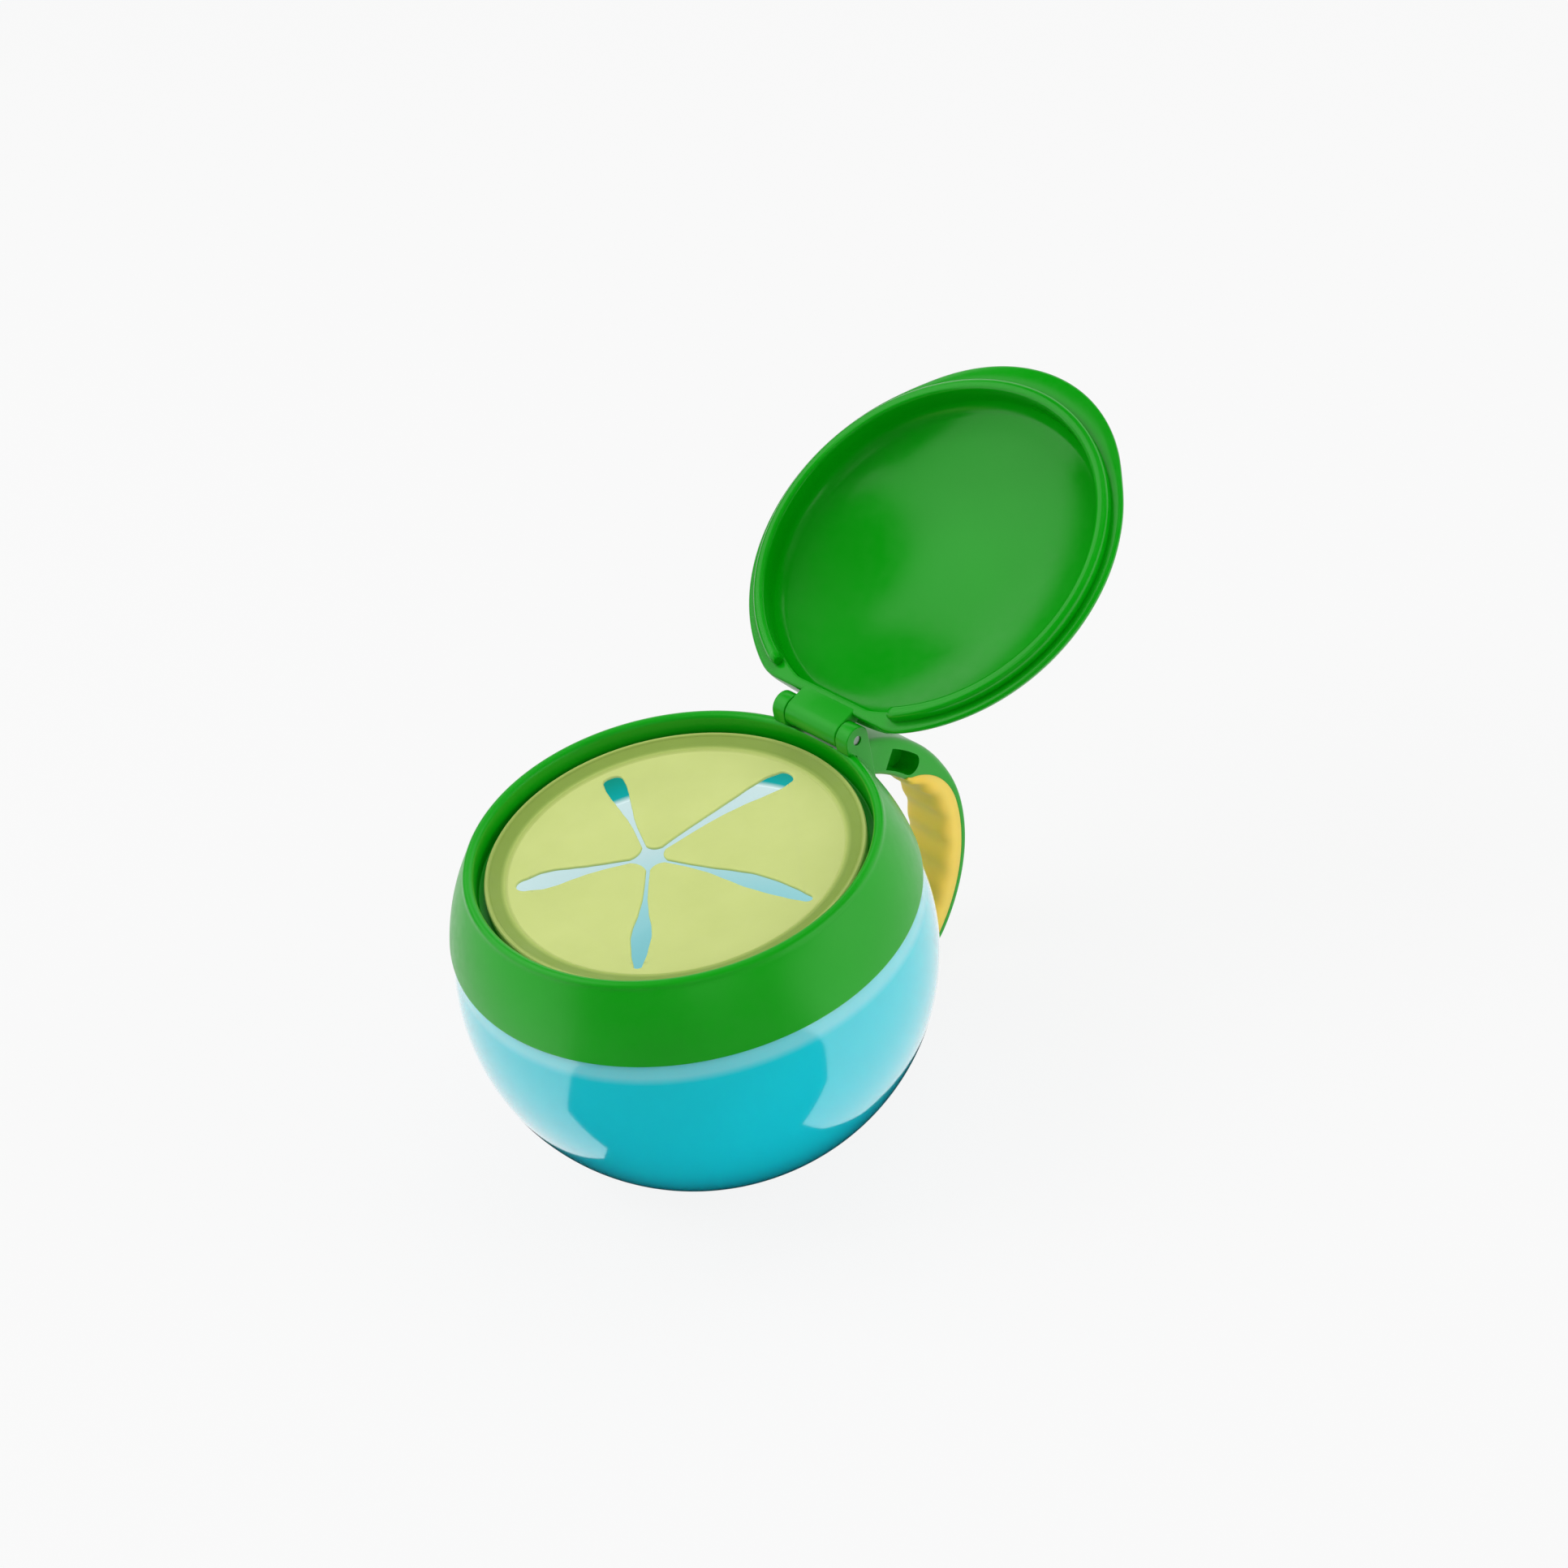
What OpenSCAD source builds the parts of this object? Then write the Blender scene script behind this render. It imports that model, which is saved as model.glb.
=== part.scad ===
// Toddler snack container: a round clear bowl, a screw-on collar with a flip lid and a C-shaped
// handle, and a soft insert whose five flaps let a hand in and keep the snack from spilling.
// Millimetres. The origin is the centre of the bowl's flat foot, +Z up; the lid's hinge and the
// handle are at +Y, and the lid's thumb brim is at -Y. The lid is drawn open, on its stop.

/* [Bowl] */
// How far the bowl's belly stands out past the collar's lower edge
belly_out = 1.05; // [0.65:0.1:3]
// Height of the belly above the foot
belly_z = 37.3; // [34:0.1:40]
// How much smaller the radius of the side's arc is than the belly's
side_less = 3.8; // [2:0.1:5]
// Thickness of the bowl's wall
bowl_wall = 2; // [1.4:0.1:2.6]
// Thickness of the bowl's floor
floor_t = 2; // [1.4:0.1:3]
// Radial distance from the collar's lower edge in to the neck
neck_in = 6.35; // [6:0.05:6.7]
// Thickness of the neck's wall
neck_wall = 1.8; // [1.4:0.1:2.2]
// Height of the neck above the shoulder
neck_h = 7.9; // [7:0.1:8]

/* [Collar] */
// Height of the collar's lower edge above the foot
collar_z = 51; // [50:0.1:53]
// Height of the collar, from its lower edge to the top of its lip
collar_h = 15.2; // [14:0.1:17]
// Outer radius of the collar's lower edge
collar_r = 46.55; // [45:0.05:48]
// Radial distance from the collar's lower edge in to the lip's outer side
lip_in = 5.55; // [5.2:0.05:6]
// Thickness of the lip
lip_t = 2.2; // [1.8:0.1:2.4]
// Radius of the arc that the collar's side follows
collar_arc_r = 41.2; // [38:0.2:60]
// Thickness of the shelf that carries the insert
shelf_t = 1.7; // [1.4:0.1:2]
// Depth of the shelf below the top of the lip
shelf_drop = 5.7; // [5.4:0.1:6.2]
// Width of the shelf, from the lip's inner side to its opening
shelf_w = 4.1; // [3:0.1:4.5]

/* [Screw thread] */
// Rise of the collar in one turn
thread_lead = 6; // [5:0.5:7]
// Number of starts
thread_starts = 2; // [2:1:3]
// Arc that each ridge covers, in degrees
thread_arc = 150; // [110:10:170]
// Depth of a ridge
thread_depth = 0.9; // [0.7:0.1:1]
// Width of a ridge at its root
thread_root = 1.6; // [1.3:0.1:1.8]
// Width of a ridge at its crest
thread_crest = 0.7; // [0.4:0.1:1]
// Radial gap between a ridge and the wall that it faces
thread_gap = 0.35; // [0.25:0.05:0.5]

/* [Insert] */
// Radial gap between the insert's rim and the lip
insert_gap = 1.6; // [1.2:0.1:2]
// Height of the rim above the shelf
insert_rim_h = 2.7; // [2.2:0.1:3.2]
// Width of the insert's rim, from its outer side to the step down to the flat disc
rim_w = 4.3; // [3.6:0.1:4.7]
// Thickness of the disc and its flaps
flap_t = 1; // [0.8:0.1:1.2]
// Height of the disc's top above the shelf
disc_h = 1.2; // [1:0.1:1.4]
// Distance from the step to the outer ends of the slits
slit_short = 1.7; // [1.5:0.1:4]
// Directions of the five slits, in degrees from +X
slit_angles = [13, 90, 162, 231, 304];
// Full widths of the five slits at their widest place
slit_widths = [4.2, 5.2, 4.2, 5.2, 4];
// Where each slit is widest, as a share of its length from the middle of the star
slit_peaks = [0.68, 0.86, 0.87, 0.76, 0.7];
// Width of a slit near the middle of the star
slit_narrow = 0.8; // [0.6:0.1:1.2]
// How far the ring's opening reaches past the slit tips
tip_play = 0.05; // [0.02:0.01:0.1]
// Place where the slits meet, off the axis
star_x = -4.6; // [-6:0.1:0]
// Place where the slits meet, off the axis
star_y = -2.8; // [-6:0.1:0]
// Radius of the hole where the slits meet
star_r = 2.2; // [1.6:0.1:3]
// Gap at each flap's fold line
fold_gap = 0.4; // [0.35:0.05:0.5]

/* [Lid] */
// Angle between the closed lid and the open one, in degrees
open_angle = 152.6; // [120:0.2:155]
// How far the lid's flange stays inside the lip's outer side
lid_in = 0.2; // [0:0.05:0.4]
// Gap between the lip and the closed lid
lid_gap = 0.3; // [0.2:0.1:0.5]
// Thickness of the lid's wall
lid_wall = 1.8; // [1.4:0.1:2.2]
// Height of the dome above the lid's flange face
dome_h = 15.5; // [13:0.5:18]
// Radius of the dome's top arc
dome_top_r = 80; // [70:1:95]
// Radius of the dome's shoulder arc
dome_side_r = 20; // [16:1:22]
// Distance from the hinge pin to the lid's straight edge
chord_in = 3.8; // [3.6:0.1:4.2]
// Radius of the lid's corners at the hinge
chord_corner_r = 10; // [6:0.5:12]
// Width of the flat strip along the straight edge
chord_strip = 2.2; // [1.6:0.1:2.6]
// Radial thickness of the sealing ring under the lid
ring_t = 2.5; // [2:0.1:2.6]
// Depth of the sealing ring below the flange
ring_h = 2.4; // [1.8:0.1:2.6]
// Gap between the sealing ring and the lip
ring_gap = 0.15; // [0.1:0.05:0.3]
// Half of the angle that the sealing ring leaves open at the hinge
ring_break = 24.5; // [20:0.5:30]
// How much smaller the radius of the thumb brim is than the flange's
brim_less = 5.5; // [5:0.1:7]
// How far the thumb brim stands out past the lid's flange
brim_out = 2.8; // [1:0.1:3.5]
// Thickness of the brim's edge
brim_t = 1.5; // [1.2:0.1:2]

/* [Hinge] */
// How far the hinge pin stays inside the lip's outer side
pin_in = 0.2; // [-0.4:0.1:0.4]
// Height of the hinge pin above the top of the lip
pin_rise = 2.2; // [2:0.1:2.8]
// Radius of the hinge pin
pin_r = 1; // [0.8:0.1:1.2]
// Radius of the lid's knuckle and of the ears' tops
knuckle_r = 2.95; // [2.7:0.05:3.1]
// Length of the lid's knuckle
knuckle_l = 14.2; // [12:0.2:16]
// Gap between the knuckle and the scoop in the lip under it
knuckle_gap = 0.5; // [0.45:0.05:0.6]
// Thickness of each ear
ear_t = 3.25; // [2.6:0.05:3.6]
// Gap between the knuckle and each ear
ear_gap = 0.15; // [0.1:0.05:0.3]
// Radial clearance of the pin in the lid's knuckle
pin_fit = 0.05; // [0.03:0.01:0.08]

/* [Handle] */
// Width of the handle, side to side
handle_w = 12.8; // [11:0.2:14]
// Radius of the handle's outer arc
handle_r = 35.6; // [34:0.1:37]
// How far the arc's centre is inside the collar's lower edge
handle_in = 13.25; // [12:0.25:14.5]
// Height of the arc's centre above the foot
handle_z = 29.4; // [29:0.1:31]
// Thickness of the handle at its root
handle_root_t = 7.9; // [7:0.1:9]
// Thickness of the handle along its lower part
handle_tip_t = 5.2; // [4.6:0.1:6]
// Thickness of the shell's wall behind the grip
handle_back_t = 1.4; // [1.3:0.1:2]
// Radius of the handle's outer corners
handle_corner_r = 1.2; // [0.8:0.1:1.2]
// Angle on the arc where the lower end starts to turn in, in degrees below level
hook_from = 45; // [38:1:46]
// Radius of the turned-in lower end
hook_r = 9.8; // [9:0.1:12]
// Angle where the lower end stops, in degrees below level
hook_to = 102; // [90:1:110]
// Depth of the pocket in each side of the handle's root
pocket_depth = 5; // [3:0.2:5.4]
// Radius of the pocket's outer side, about the arc's centre
pocket_out_r = 33.5; // [32.5:0.1:34]
// Width of the pocket, towards the arc's centre
pocket_w = 4.6; // [4:0.1:4.8]
// Angle of the pocket's round end above level
pocket_from = 37; // [36:1:40]
// Angle of the pocket's square end above level
pocket_to = 54.7; // [50:0.1:55]
// Radius of the grip's inner corners
grip_corner_r = 1.6; // [1:0.1:2]
// Height of each rib of the grip
rib_h = 0.35; // [0:0.05:0.5]
// Number of ribs on the grip
rib_count = 10; // [6:1:14]

/* [Hidden] */

green = [0.25, 0.64, 0.23];
soft_green = [0.79, 0.83, 0.5];
clear_blue = [0.2, 0.75, 0.82];
yellow = [0.84, 0.77, 0.38];
$fn = 96;

// the collar's radii, which the bowl, the insert and the lid follow
lip_r = collar_r - lip_in;
lip_in_r = lip_r - lip_t;
shelf_open_r = lip_in_r - shelf_w;

// the bowl
bowl_r = collar_r + belly_out;
bowl_arc_r = bowl_r - side_less;
bowl_arc_x = bowl_r - bowl_arc_r;
neck_r = collar_r - neck_in;
shoulder_z = collar_z - 0.3;
neck_top = shoulder_z + neck_h;

// the collar
lip_top = collar_z + collar_h;
lip_round = lip_t / 2;
lip_z = lip_top - lip_round;
shelf_z = lip_top - shelf_drop;
shelf_under = shelf_z - shelf_t;
bore_r = neck_r + thread_depth + thread_gap;
// the side's arc goes through the lower edge and the lip's outer side
side_mid = [(collar_r + lip_r) / 2, (collar_z + lip_z) / 2];
side_half = norm([collar_r - lip_r, lip_z - collar_z]) / 2;
side_dir = [lip_z - collar_z, collar_r - lip_r] / (2 * side_half);
side_c = side_mid - side_dir * sqrt(pow(collar_arc_r, 2) - pow(side_half, 2));

// the thread: the lowest point of a ridge on the neck, and the ridge on the collar half a pitch below
thread_pitch = thread_lead / thread_starts;
thread_steps = 30;
thread_sink = 0.3;
thread_z = neck_top - thread_root - thread_lead * thread_arc / 360 - 0.4;

// the insert
insert_r = lip_in_r - insert_gap;
step_r = insert_r - rim_w;
slit_reach = step_r - slit_short;
disc_z = shelf_z + disc_h;
disc_under = disc_z - flap_t;
rim_top = shelf_z + insert_rim_h;
star = [star_x, star_y];
slit_n = len(slit_angles);
slit_steps = 14;
rim_gap = 0.1;
// the skirt hangs through the shelf's opening, and its bead catches under the shelf
skirt_r = shelf_open_r - 0.3;
skirt_t = 1.4;
skirt_end = shelf_under - 0.6;
bead_r = shelf_open_r + 0.4;

// the hinge and the closed lid
pin_y = lip_r - pin_in;
lid_r = lip_r - lid_in;
chord_y = pin_y - chord_in;
brim_r = lid_r - brim_less;
brim_shift = lid_r + brim_out - brim_r;
pin_z = lip_top + pin_rise;
lid_z = lip_top + lid_gap;
ear_in = knuckle_l / 2 + ear_gap;
ear_out = ear_in + ear_t;
ring_out_r = lip_in_r - ring_gap;
ring_in_r = ring_out_r - ring_t;
hollow_y = chord_y - chord_strip;
dome_top = lid_z + dome_h;
dome_edge = [lid_r - 0.2, lid_z + 1.2];
dome_top_c = [0, dome_top - dome_top_r];
dome_reach = dome_top_r - dome_side_r;
edge_v = dome_edge - dome_top_c;
// tilt of the line from the top arc's centre to the shoulder arc's centre
dome_tilt = atan2(edge_v.x, edge_v.y) - acos((pow(norm(edge_v), 2) + pow(dome_reach, 2)
    - pow(dome_side_r, 2)) / (2 * norm(edge_v) * dome_reach));
dome_side_c = dome_top_c + dome_reach * [sin(dome_tilt), cos(dome_tilt)];

// the handle: stations along its arc, by angle from level
handle_y = collar_r - handle_in;
hook_c = [handle_y, handle_z] + (handle_r - hook_r) * [cos(hook_from), -sin(hook_from)];
root_angle = 82;
grip_from = 39;
grip_to = -84;
station_step = 1.4;
bar_depth = 9.6;
thin_angle = 5;

// Points on an arc about c, from angle a to angle b
function arc(c, r, a, b, n) = [for (i = [0 : n]) c + r * [cos(a + (b - a) * i / n), sin(a + (b - a) * i / n)]];

// A smooth step from 0 to 1
function ease(t) = let (u = max(0, min(1, t))) u * u * (3 - 2 * u);

// Screw thread ------------------------------------------------------------

// Corners of one section of a ridge; dir is 1 outward and -1 inward, and its root is sunk in the wall
function ridge_section(r, dir, z) = [
    [r - dir * thread_sink, z],
    [r + dir * thread_depth, z + (thread_root - thread_crest) / 2],
    [r + dir * thread_depth, z + (thread_root + thread_crest) / 2],
    [r - dir * thread_sink, z + thread_root]];

module ridge(r, dir, z, start) {
    n = 4;
    points = [for (i = [0 : thread_steps]) let (a = thread_arc * i / thread_steps)
        for (p = ridge_section(r, dir, z + thread_lead * a / 360))
        [p.x * cos(start + a), p.x * sin(start + a), p.y]];
    ends = [[for (j = [0 : n - 1]) j], [for (j = [n - 1 : -1 : 0]) thread_steps * n + j]];
    sides = [for (i = [0 : thread_steps - 1]) for (j = [0 : n - 1])
        let (a = i * n + j, b = i * n + (j + 1) % n) each [[a, a + n, b], [b, a + n, b + n]]];
    faces = concat(ends, sides);
    polyhedron(points, dir < 0 ? faces : [for (f = faces) [for (k = [len(f) - 1 : -1 : 0]) f[k]]]);
}

// Bowl ---------------------------------------------------------------------

module bowl_outline(inset) {
    intersection() {
        translate([bowl_arc_x, belly_z]) circle(r = bowl_arc_r - inset, $fn = 180);
        translate([0, inset]) square([bowl_r + 5, shoulder_z - 2 * inset]);
    }
    translate([0, inset]) square([bowl_arc_x + 1, shoulder_z - 2 * inset]);
}

module bowl() {
    color(clear_blue, 0.6) {
        difference() {
            union() {
                rotate_extrude($fn = 144) bowl_outline(0);
                translate([0, 0, shoulder_z - 1]) cylinder(r = neck_r, h = neck_h + 1);
            }
            rotate_extrude($fn = 144) difference() {
                bowl_outline(bowl_wall);
                square([bowl_r, floor_t]);
            }
            translate([0, 0, shoulder_z - 2 * bowl_wall]) {
                cylinder(r = neck_r - neck_wall, h = neck_h + 2 * bowl_wall + 1);
            }
        }
        for (k = [0 : thread_starts - 1]) {
            ridge(neck_r, 1, thread_z, 360 * k / thread_starts);
        }
    }
}

// Collar -------------------------------------------------------------------

// Everything inside the collar's outer side, from height z0 up to the lip
module collar_outline(z0) {
    intersection() {
        translate(side_c) circle(r = collar_arc_r, $fn = 180);
        translate([0, z0]) square([collar_r + 2, lip_z - z0]);
    }
    translate([0, z0]) square([side_c.x + 1, lip_z - z0]);
}

module ear() {
    translate([0, pin_y, pin_z]) rotate([0, 90, 0]) cylinder(r = knuckle_r, h = ear_t);
    translate([0, pin_y - knuckle_r, collar_z + 4]) cube([ear_t, 2 * knuckle_r, pin_z - collar_z - 4]);
}

module collar() {
    color(green) {
        difference() {
            union() {
                rotate_extrude($fn = 144) difference() {
                    union() {
                        collar_outline(collar_z);
                        translate([lip_r - lip_round, lip_z]) circle(r = lip_round, $fn = 48);
                    }
                    translate([-1, shelf_z]) square([lip_in_r + 1, collar_h]);
                    translate([-1, collar_z - 1]) square([bore_r + 1, shelf_under - collar_z + 1]);
                    translate([-1, collar_z]) square([shelf_open_r + 1, collar_h]);
                    // the mouth of the bore opens over the bowl's shoulder
                    polygon([[bore_r - 1, collar_z - 1], [collar_r - 1.4, collar_z - 1],
                        [collar_r - 1.6, collar_z + 0.4], [bore_r - 1, collar_z + 1.2]]);
                }
                for (s = [-1, 1]) {
                    difference() {
                        translate([s > 0 ? ear_in : -ear_out, 0, 0]) ear();
                        cylinder(r = lip_r - lip_round, h = lip_z);
                        cylinder(r = bore_r + 0.5, h = shelf_under);
                    }
                }
            }
            // the lip is scooped under the lid's knuckle
            translate([-ear_in, pin_y, pin_z]) rotate([0, 90, 0]) {
                cylinder(r = knuckle_r + knuckle_gap, h = 2 * ear_in);
            }
            translate([-ear_out - 1, pin_y, pin_z]) rotate([0, 90, 0]) {
                cylinder(r = pin_r, h = 2 * ear_out + 2);
            }
        }
        for (k = [0 : thread_starts - 1]) {
            ridge(bore_r, -1, thread_z - thread_pitch / 2, 360 * k / thread_starts);
        }
    }
}

// Handle and grip ------------------------------------------------------------

function on_hook(a) = a < -hook_from;
function outer_point(a) = on_hook(a)
    ? hook_c + hook_r * [cos(a), sin(a)]
    : [handle_y, handle_z] + handle_r * [cos(a), sin(a)];
// Thickness of shell and grip together
function full_t(a) = handle_tip_t + (handle_root_t - handle_tip_t) * ease((a - thin_angle) / 40)
    - 1.2 * ease((-a - 70) / 40);
// Depth of the shell: thin behind the grip, whole at the root and at the lower end
function shell_t(a) = a > grip_from || a < grip_to
    ? full_t(a)
    : min(full_t(a) - 0.8, handle_back_t
        + 6 * pow(max(0, (a - thin_angle) / (grip_from - thin_angle)), 2.2)
        + 3 * pow(max(0, (-a - 60) / 24), 3));
function rib(a) = rib_h * (1 - cos(rib_count * 360 * (grip_from - a) / (grip_from - grip_to))) / 2
    * ease((grip_from - a) / 6) * ease((a - grip_to) / 10);

// Point at depth d under the handle's outer arc, at angle a, as distance from the cup's axis and height
function at(a, d) = outer_point(a) - d * [cos(a), sin(a)];

root_stations = [for (i = [0 : 12]) root_angle + (grip_from + 0.1 - root_angle) * i / 12];
grip_n = round((grip_from - grip_to) / station_step);
grip_stations = [for (i = [0 : grip_n]) grip_from - (grip_from - grip_to) * i / grip_n];
tip_stations = [for (i = [0 : 4]) grip_to - 0.1 - (hook_to + grip_to - 0.1) * i / 4];

// Turns a drawing of the side view, with the cup's axis at x = 0, and what is extruded from it
module side_view() {
    rotate([90, 0, 90]) children();
}

// Cross-section of the bar that the handle is cut from; its outer corners are round
module bar_section(r) {
    w = handle_w / 2;
    c = handle_corner_r;
    translate([r - bar_depth, -w]) square([bar_depth - c, 2 * w]);
    translate([r - bar_depth, c - w]) square([bar_depth, 2 * w - 2 * c]);
    for (s = [-1, 1]) {
        translate([r - c, s * (w - c)]) circle(r = c, $fn = 24);
    }
}

module handle_bar() {
    translate([handle_y, handle_z]) rotate([0, 0, -hook_from]) {
        rotate_extrude(angle = root_angle + hook_from, $fn = 144) bar_section(handle_r);
    }
    // the turned-in end starts inside the main arc, which it leaves at a tangent
    translate(hook_c) rotate([0, 0, -hook_to]) {
        rotate_extrude(angle = hook_to - hook_from + 1, $fn = 144) bar_section(hook_r);
    }
}

// Side view of the shell, drawn past the bar on its outer side
module shell_band() {
    stations = concat(root_stations, grip_stations, tip_stations);
    n = len(stations) - 1;
    polygon(concat([for (a = stations) at(a, -1)],
        [for (i = [n : -1 : 0]) at(stations[i], shell_t(stations[i]))]));
}

// Side view of the pocket: square at the collar's end and round at the other
module pocket_shape() {
    mid = pocket_out_r - pocket_w / 2;
    turn = pocket_from + pocket_w / 2 / mid * 180 / PI;
    translate([handle_y, handle_z]) {
        intersection() {
            difference() {
                circle(r = pocket_out_r, $fn = 144);
                circle(r = pocket_out_r - pocket_w, $fn = 144);
            }
            polygon([[0, 0], 50 * [cos(turn), sin(turn)], 50 * [cos(pocket_to), sin(pocket_to)]]);
        }
        translate(mid * [cos(turn), sin(turn)]) circle(r = pocket_w / 2, $fn = 36);
    }
}

module handle() {
    color(green) difference() {
        side_view() intersection() {
            handle_bar();
            translate([0, 0, -handle_w]) linear_extrude(2 * handle_w) shell_band();
        }
        rotate_extrude($fn = 144) collar_outline(collar_z);
        for (s = [0, 1]) mirror([s, 0, 0]) side_view() {
            translate([0, 0, handle_w / 2 - pocket_depth]) linear_extrude(pocket_depth + 1) pocket_shape();
        }
    }
}

// The grip fills the handle from the shell's inner face to the full thickness
module handle_grip() {
    w = handle_w / 2;
    sections = [for (a = grip_stations) let (d0 = shell_t(a), d1 = full_t(a) + rib(a),
        r = min(grip_corner_r, (d1 - d0) / 2)) concat([[-w, d0], [w, d0]],
        arc([w - r, d1 - r], r, 0, 90, 3), arc([r - w, d1 - r], r, 90, 180, 3))];
    n = len(sections[0]);
    m = len(sections);
    points = [for (i = [0 : m - 1]) for (p = sections[i]) let (q = at(grip_stations[i], p.y))
        [p.x, q.x, q.y]];
    sides = [for (i = [0 : m - 2]) for (j = [0 : n - 1])
        let (a = i * n + j, b = i * n + (j + 1) % n) each [[a, a + n, b], [b, a + n, b + n]]];
    color(yellow) polyhedron(points, concat([[for (j = [0 : n - 1]) j]], sides,
        [[for (j = [n - 1 : -1 : 0]) (m - 1) * n + j]]));
}

// Insert ----------------------------------------------------------------------

function slit_tip(i, past = 0) = (slit_reach + past)
    * [cos(slit_angles[i % slit_n]), sin(slit_angles[i % slit_n])];
// Half-width of slit i at share s of its length
function slit_half(i, s) = slit_narrow / 2
    + (slit_widths[i] - slit_narrow) / 2 * sin(180 * pow(s, ln(0.5) / ln(slit_peaks[i])));

module slit(i) {
    tip = slit_tip(i);
    len = norm(tip - star);
    translate(star) rotate(atan2(tip.y - star.y, tip.x - star.x)) {
        polygon(concat(
            [for (k = [0 : slit_steps]) [len * k / slit_steps, -slit_half(i, k / slit_steps)]],
            [for (k = [slit_steps : -1 : 0]) [len * k / slit_steps, slit_half(i, k / slit_steps)]]));
    }
}

// The flaps' side of each fold line, less the slits and the hole at their meeting
module flap_shape(i) {
    a = slit_tip(i);
    b = slit_tip(i + 1);
    // the fold line, moved in by the gap
    shift = fold_gap * [a.y - b.y, b.x - a.x] / norm(b - a);
    difference() {
        polygon([star, a + shift, b + shift]);
        slit(i);
        slit((i + 1) % slit_n);
        translate(star) circle(r = star_r, $fn = 48);
    }
}

module flap(i) {
    color(soft_green) translate([0, 0, disc_under]) linear_extrude(flap_t) flap_shape(i);
}

module flap_ring() {
    color(soft_green) difference() {
        rotate_extrude($fn = 144) polygon([[0, disc_under], [skirt_r - skirt_t, disc_under],
            [skirt_r - skirt_t, skirt_end], [bead_r - 0.5, skirt_end], [bead_r, skirt_end + 0.2],
            [bead_r, skirt_end + 0.4], [skirt_r, skirt_end + 0.4], [skirt_r, shelf_z + rim_gap],
            [insert_r - 0.3, shelf_z + rim_gap], [insert_r, shelf_z + rim_gap + 0.3],
            [insert_r, rim_top - 0.3], [insert_r - 0.3, rim_top], [step_r + 0.5, disc_z + 0.2],
            [step_r, disc_z], [0, disc_z]]);
        translate([0, 0, disc_under - 1]) linear_extrude(flap_t + 2) {
            polygon([for (i = [0 : slit_n - 1]) slit_tip(i, tip_play)]);
            for (i = [0 : slit_n - 1]) slit(i);
        }
    }
}

module flap_1() {
    flap(0);
}

module flap_2() {
    flap(1);
}

module flap_3() {
    flap(2);
}

module flap_4() {
    flap(3);
}

module flap_5() {
    flap(4);
}

// Lid --------------------------------------------------------------------------

// Plan of the closed lid: a circle with a straight edge at the hinge and round corners
module lid_plan() {
    corner = [sqrt(pow(lid_r - chord_corner_r, 2) - pow(chord_y - chord_corner_r, 2)),
        chord_y - chord_corner_r];
    turn = atan2(corner.y, corner.x);
    difference() {
        circle(r = lid_r, $fn = 180);
        translate([-corner.x, chord_y]) square([2 * corner.x, lid_r]);
        for (s = [-1, 1]) difference() {
            polygon([[s * corner.x, corner.y], [s * corner.x, 2 * lid_r], 2 * lid_r * [s * cos(turn), sin(turn)]]);
            translate([s * corner.x, corner.y]) circle(r = chord_corner_r, $fn = 96);
        }
    }
}

// Half-section of the dome, inset from its outer face
module dome_section(inset, r, z) {
    edge = dome_edge - dome_side_c;
    polygon(concat([[0, z], [r, z]],
        [for (p = arc(dome_side_c, dome_side_r - inset, atan2(edge.y, edge.x), 90 - dome_tilt, 8))
            [min(r, p.x), max(z, p.y)]],
        [for (i = [1 : 6]) let (a = dome_tilt * (1 - i / 6))
            dome_top_c + (dome_top_r - inset) * [sin(a), cos(a)]]));
}

module lid_closed() {
    difference() {
        union() {
            intersection() {
                rotate_extrude($fn = 144) dome_section(0, lid_r, lid_z);
                linear_extrude(2 * dome_top) lid_plan();
            }
            rotate([0, 0, 90 + ring_break]) rotate_extrude(angle = 360 - 2 * ring_break, $fn = 144) {
                polygon([[ring_in_r + 0.5, lid_z - ring_h], [ring_out_r - 0.5, lid_z - ring_h],
                    [ring_out_r, lid_z - ring_h + 0.5], [ring_out_r, lid_z + 0.5],
                    [ring_in_r, lid_z + 0.5], [ring_in_r, lid_z - ring_h + 0.5]]);
            }
            translate([0, -brim_shift, 0]) rotate_extrude($fn = 144) {
                polygon([[0, lid_z], [brim_r - 0.6, lid_z], [brim_r, lid_z + 0.4],
                    [brim_r, lid_z + brim_t - 0.4], [brim_r - 0.4, lid_z + brim_t], [0, lid_z + brim_t]]);
            }
            translate([-knuckle_l / 2, pin_y, pin_z]) rotate([0, 90, 0]) cylinder(r = knuckle_r, h = knuckle_l);
            translate([-knuckle_l / 2, hollow_y + 0.6, lid_z]) {
                cube([knuckle_l, pin_y - hollow_y - 0.6, pin_z - lid_z + 0.6]);
            }
        }
        intersection() {
            rotate_extrude($fn = 144) {
                dome_section(lid_wall, ring_in_r, lid_z);
                translate([0, lid_z - 5]) square([ring_in_r, 5.5]);
            }
            translate([-lid_r, -lid_r, 0]) cube([2 * lid_r, lid_r + hollow_y, 2 * dome_top]);
        }
        translate([-knuckle_l, pin_y, pin_z]) rotate([0, 90, 0]) {
            cylinder(r = pin_r + pin_fit, h = 2 * knuckle_l);
        }
    }
}

module lid() {
    color(green) translate([0, pin_y, pin_z]) rotate([-open_angle, 0, 0]) {
        translate([0, -pin_y, -pin_z]) lid_closed();
    }
}

module hinge_pin() {
    color([0.75, 0.77, 0.78]) translate([-ear_out + 0.3, pin_y, pin_z]) rotate([0, 90, 0]) {
        cylinder(r = pin_r, h = 2 * ear_out - 0.6);
    }
}

bowl();
collar();
handle();
handle_grip();
flap_ring();
flap_1();
flap_2();
flap_3();
flap_4();
flap_5();
lid();
hinge_pin();
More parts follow.
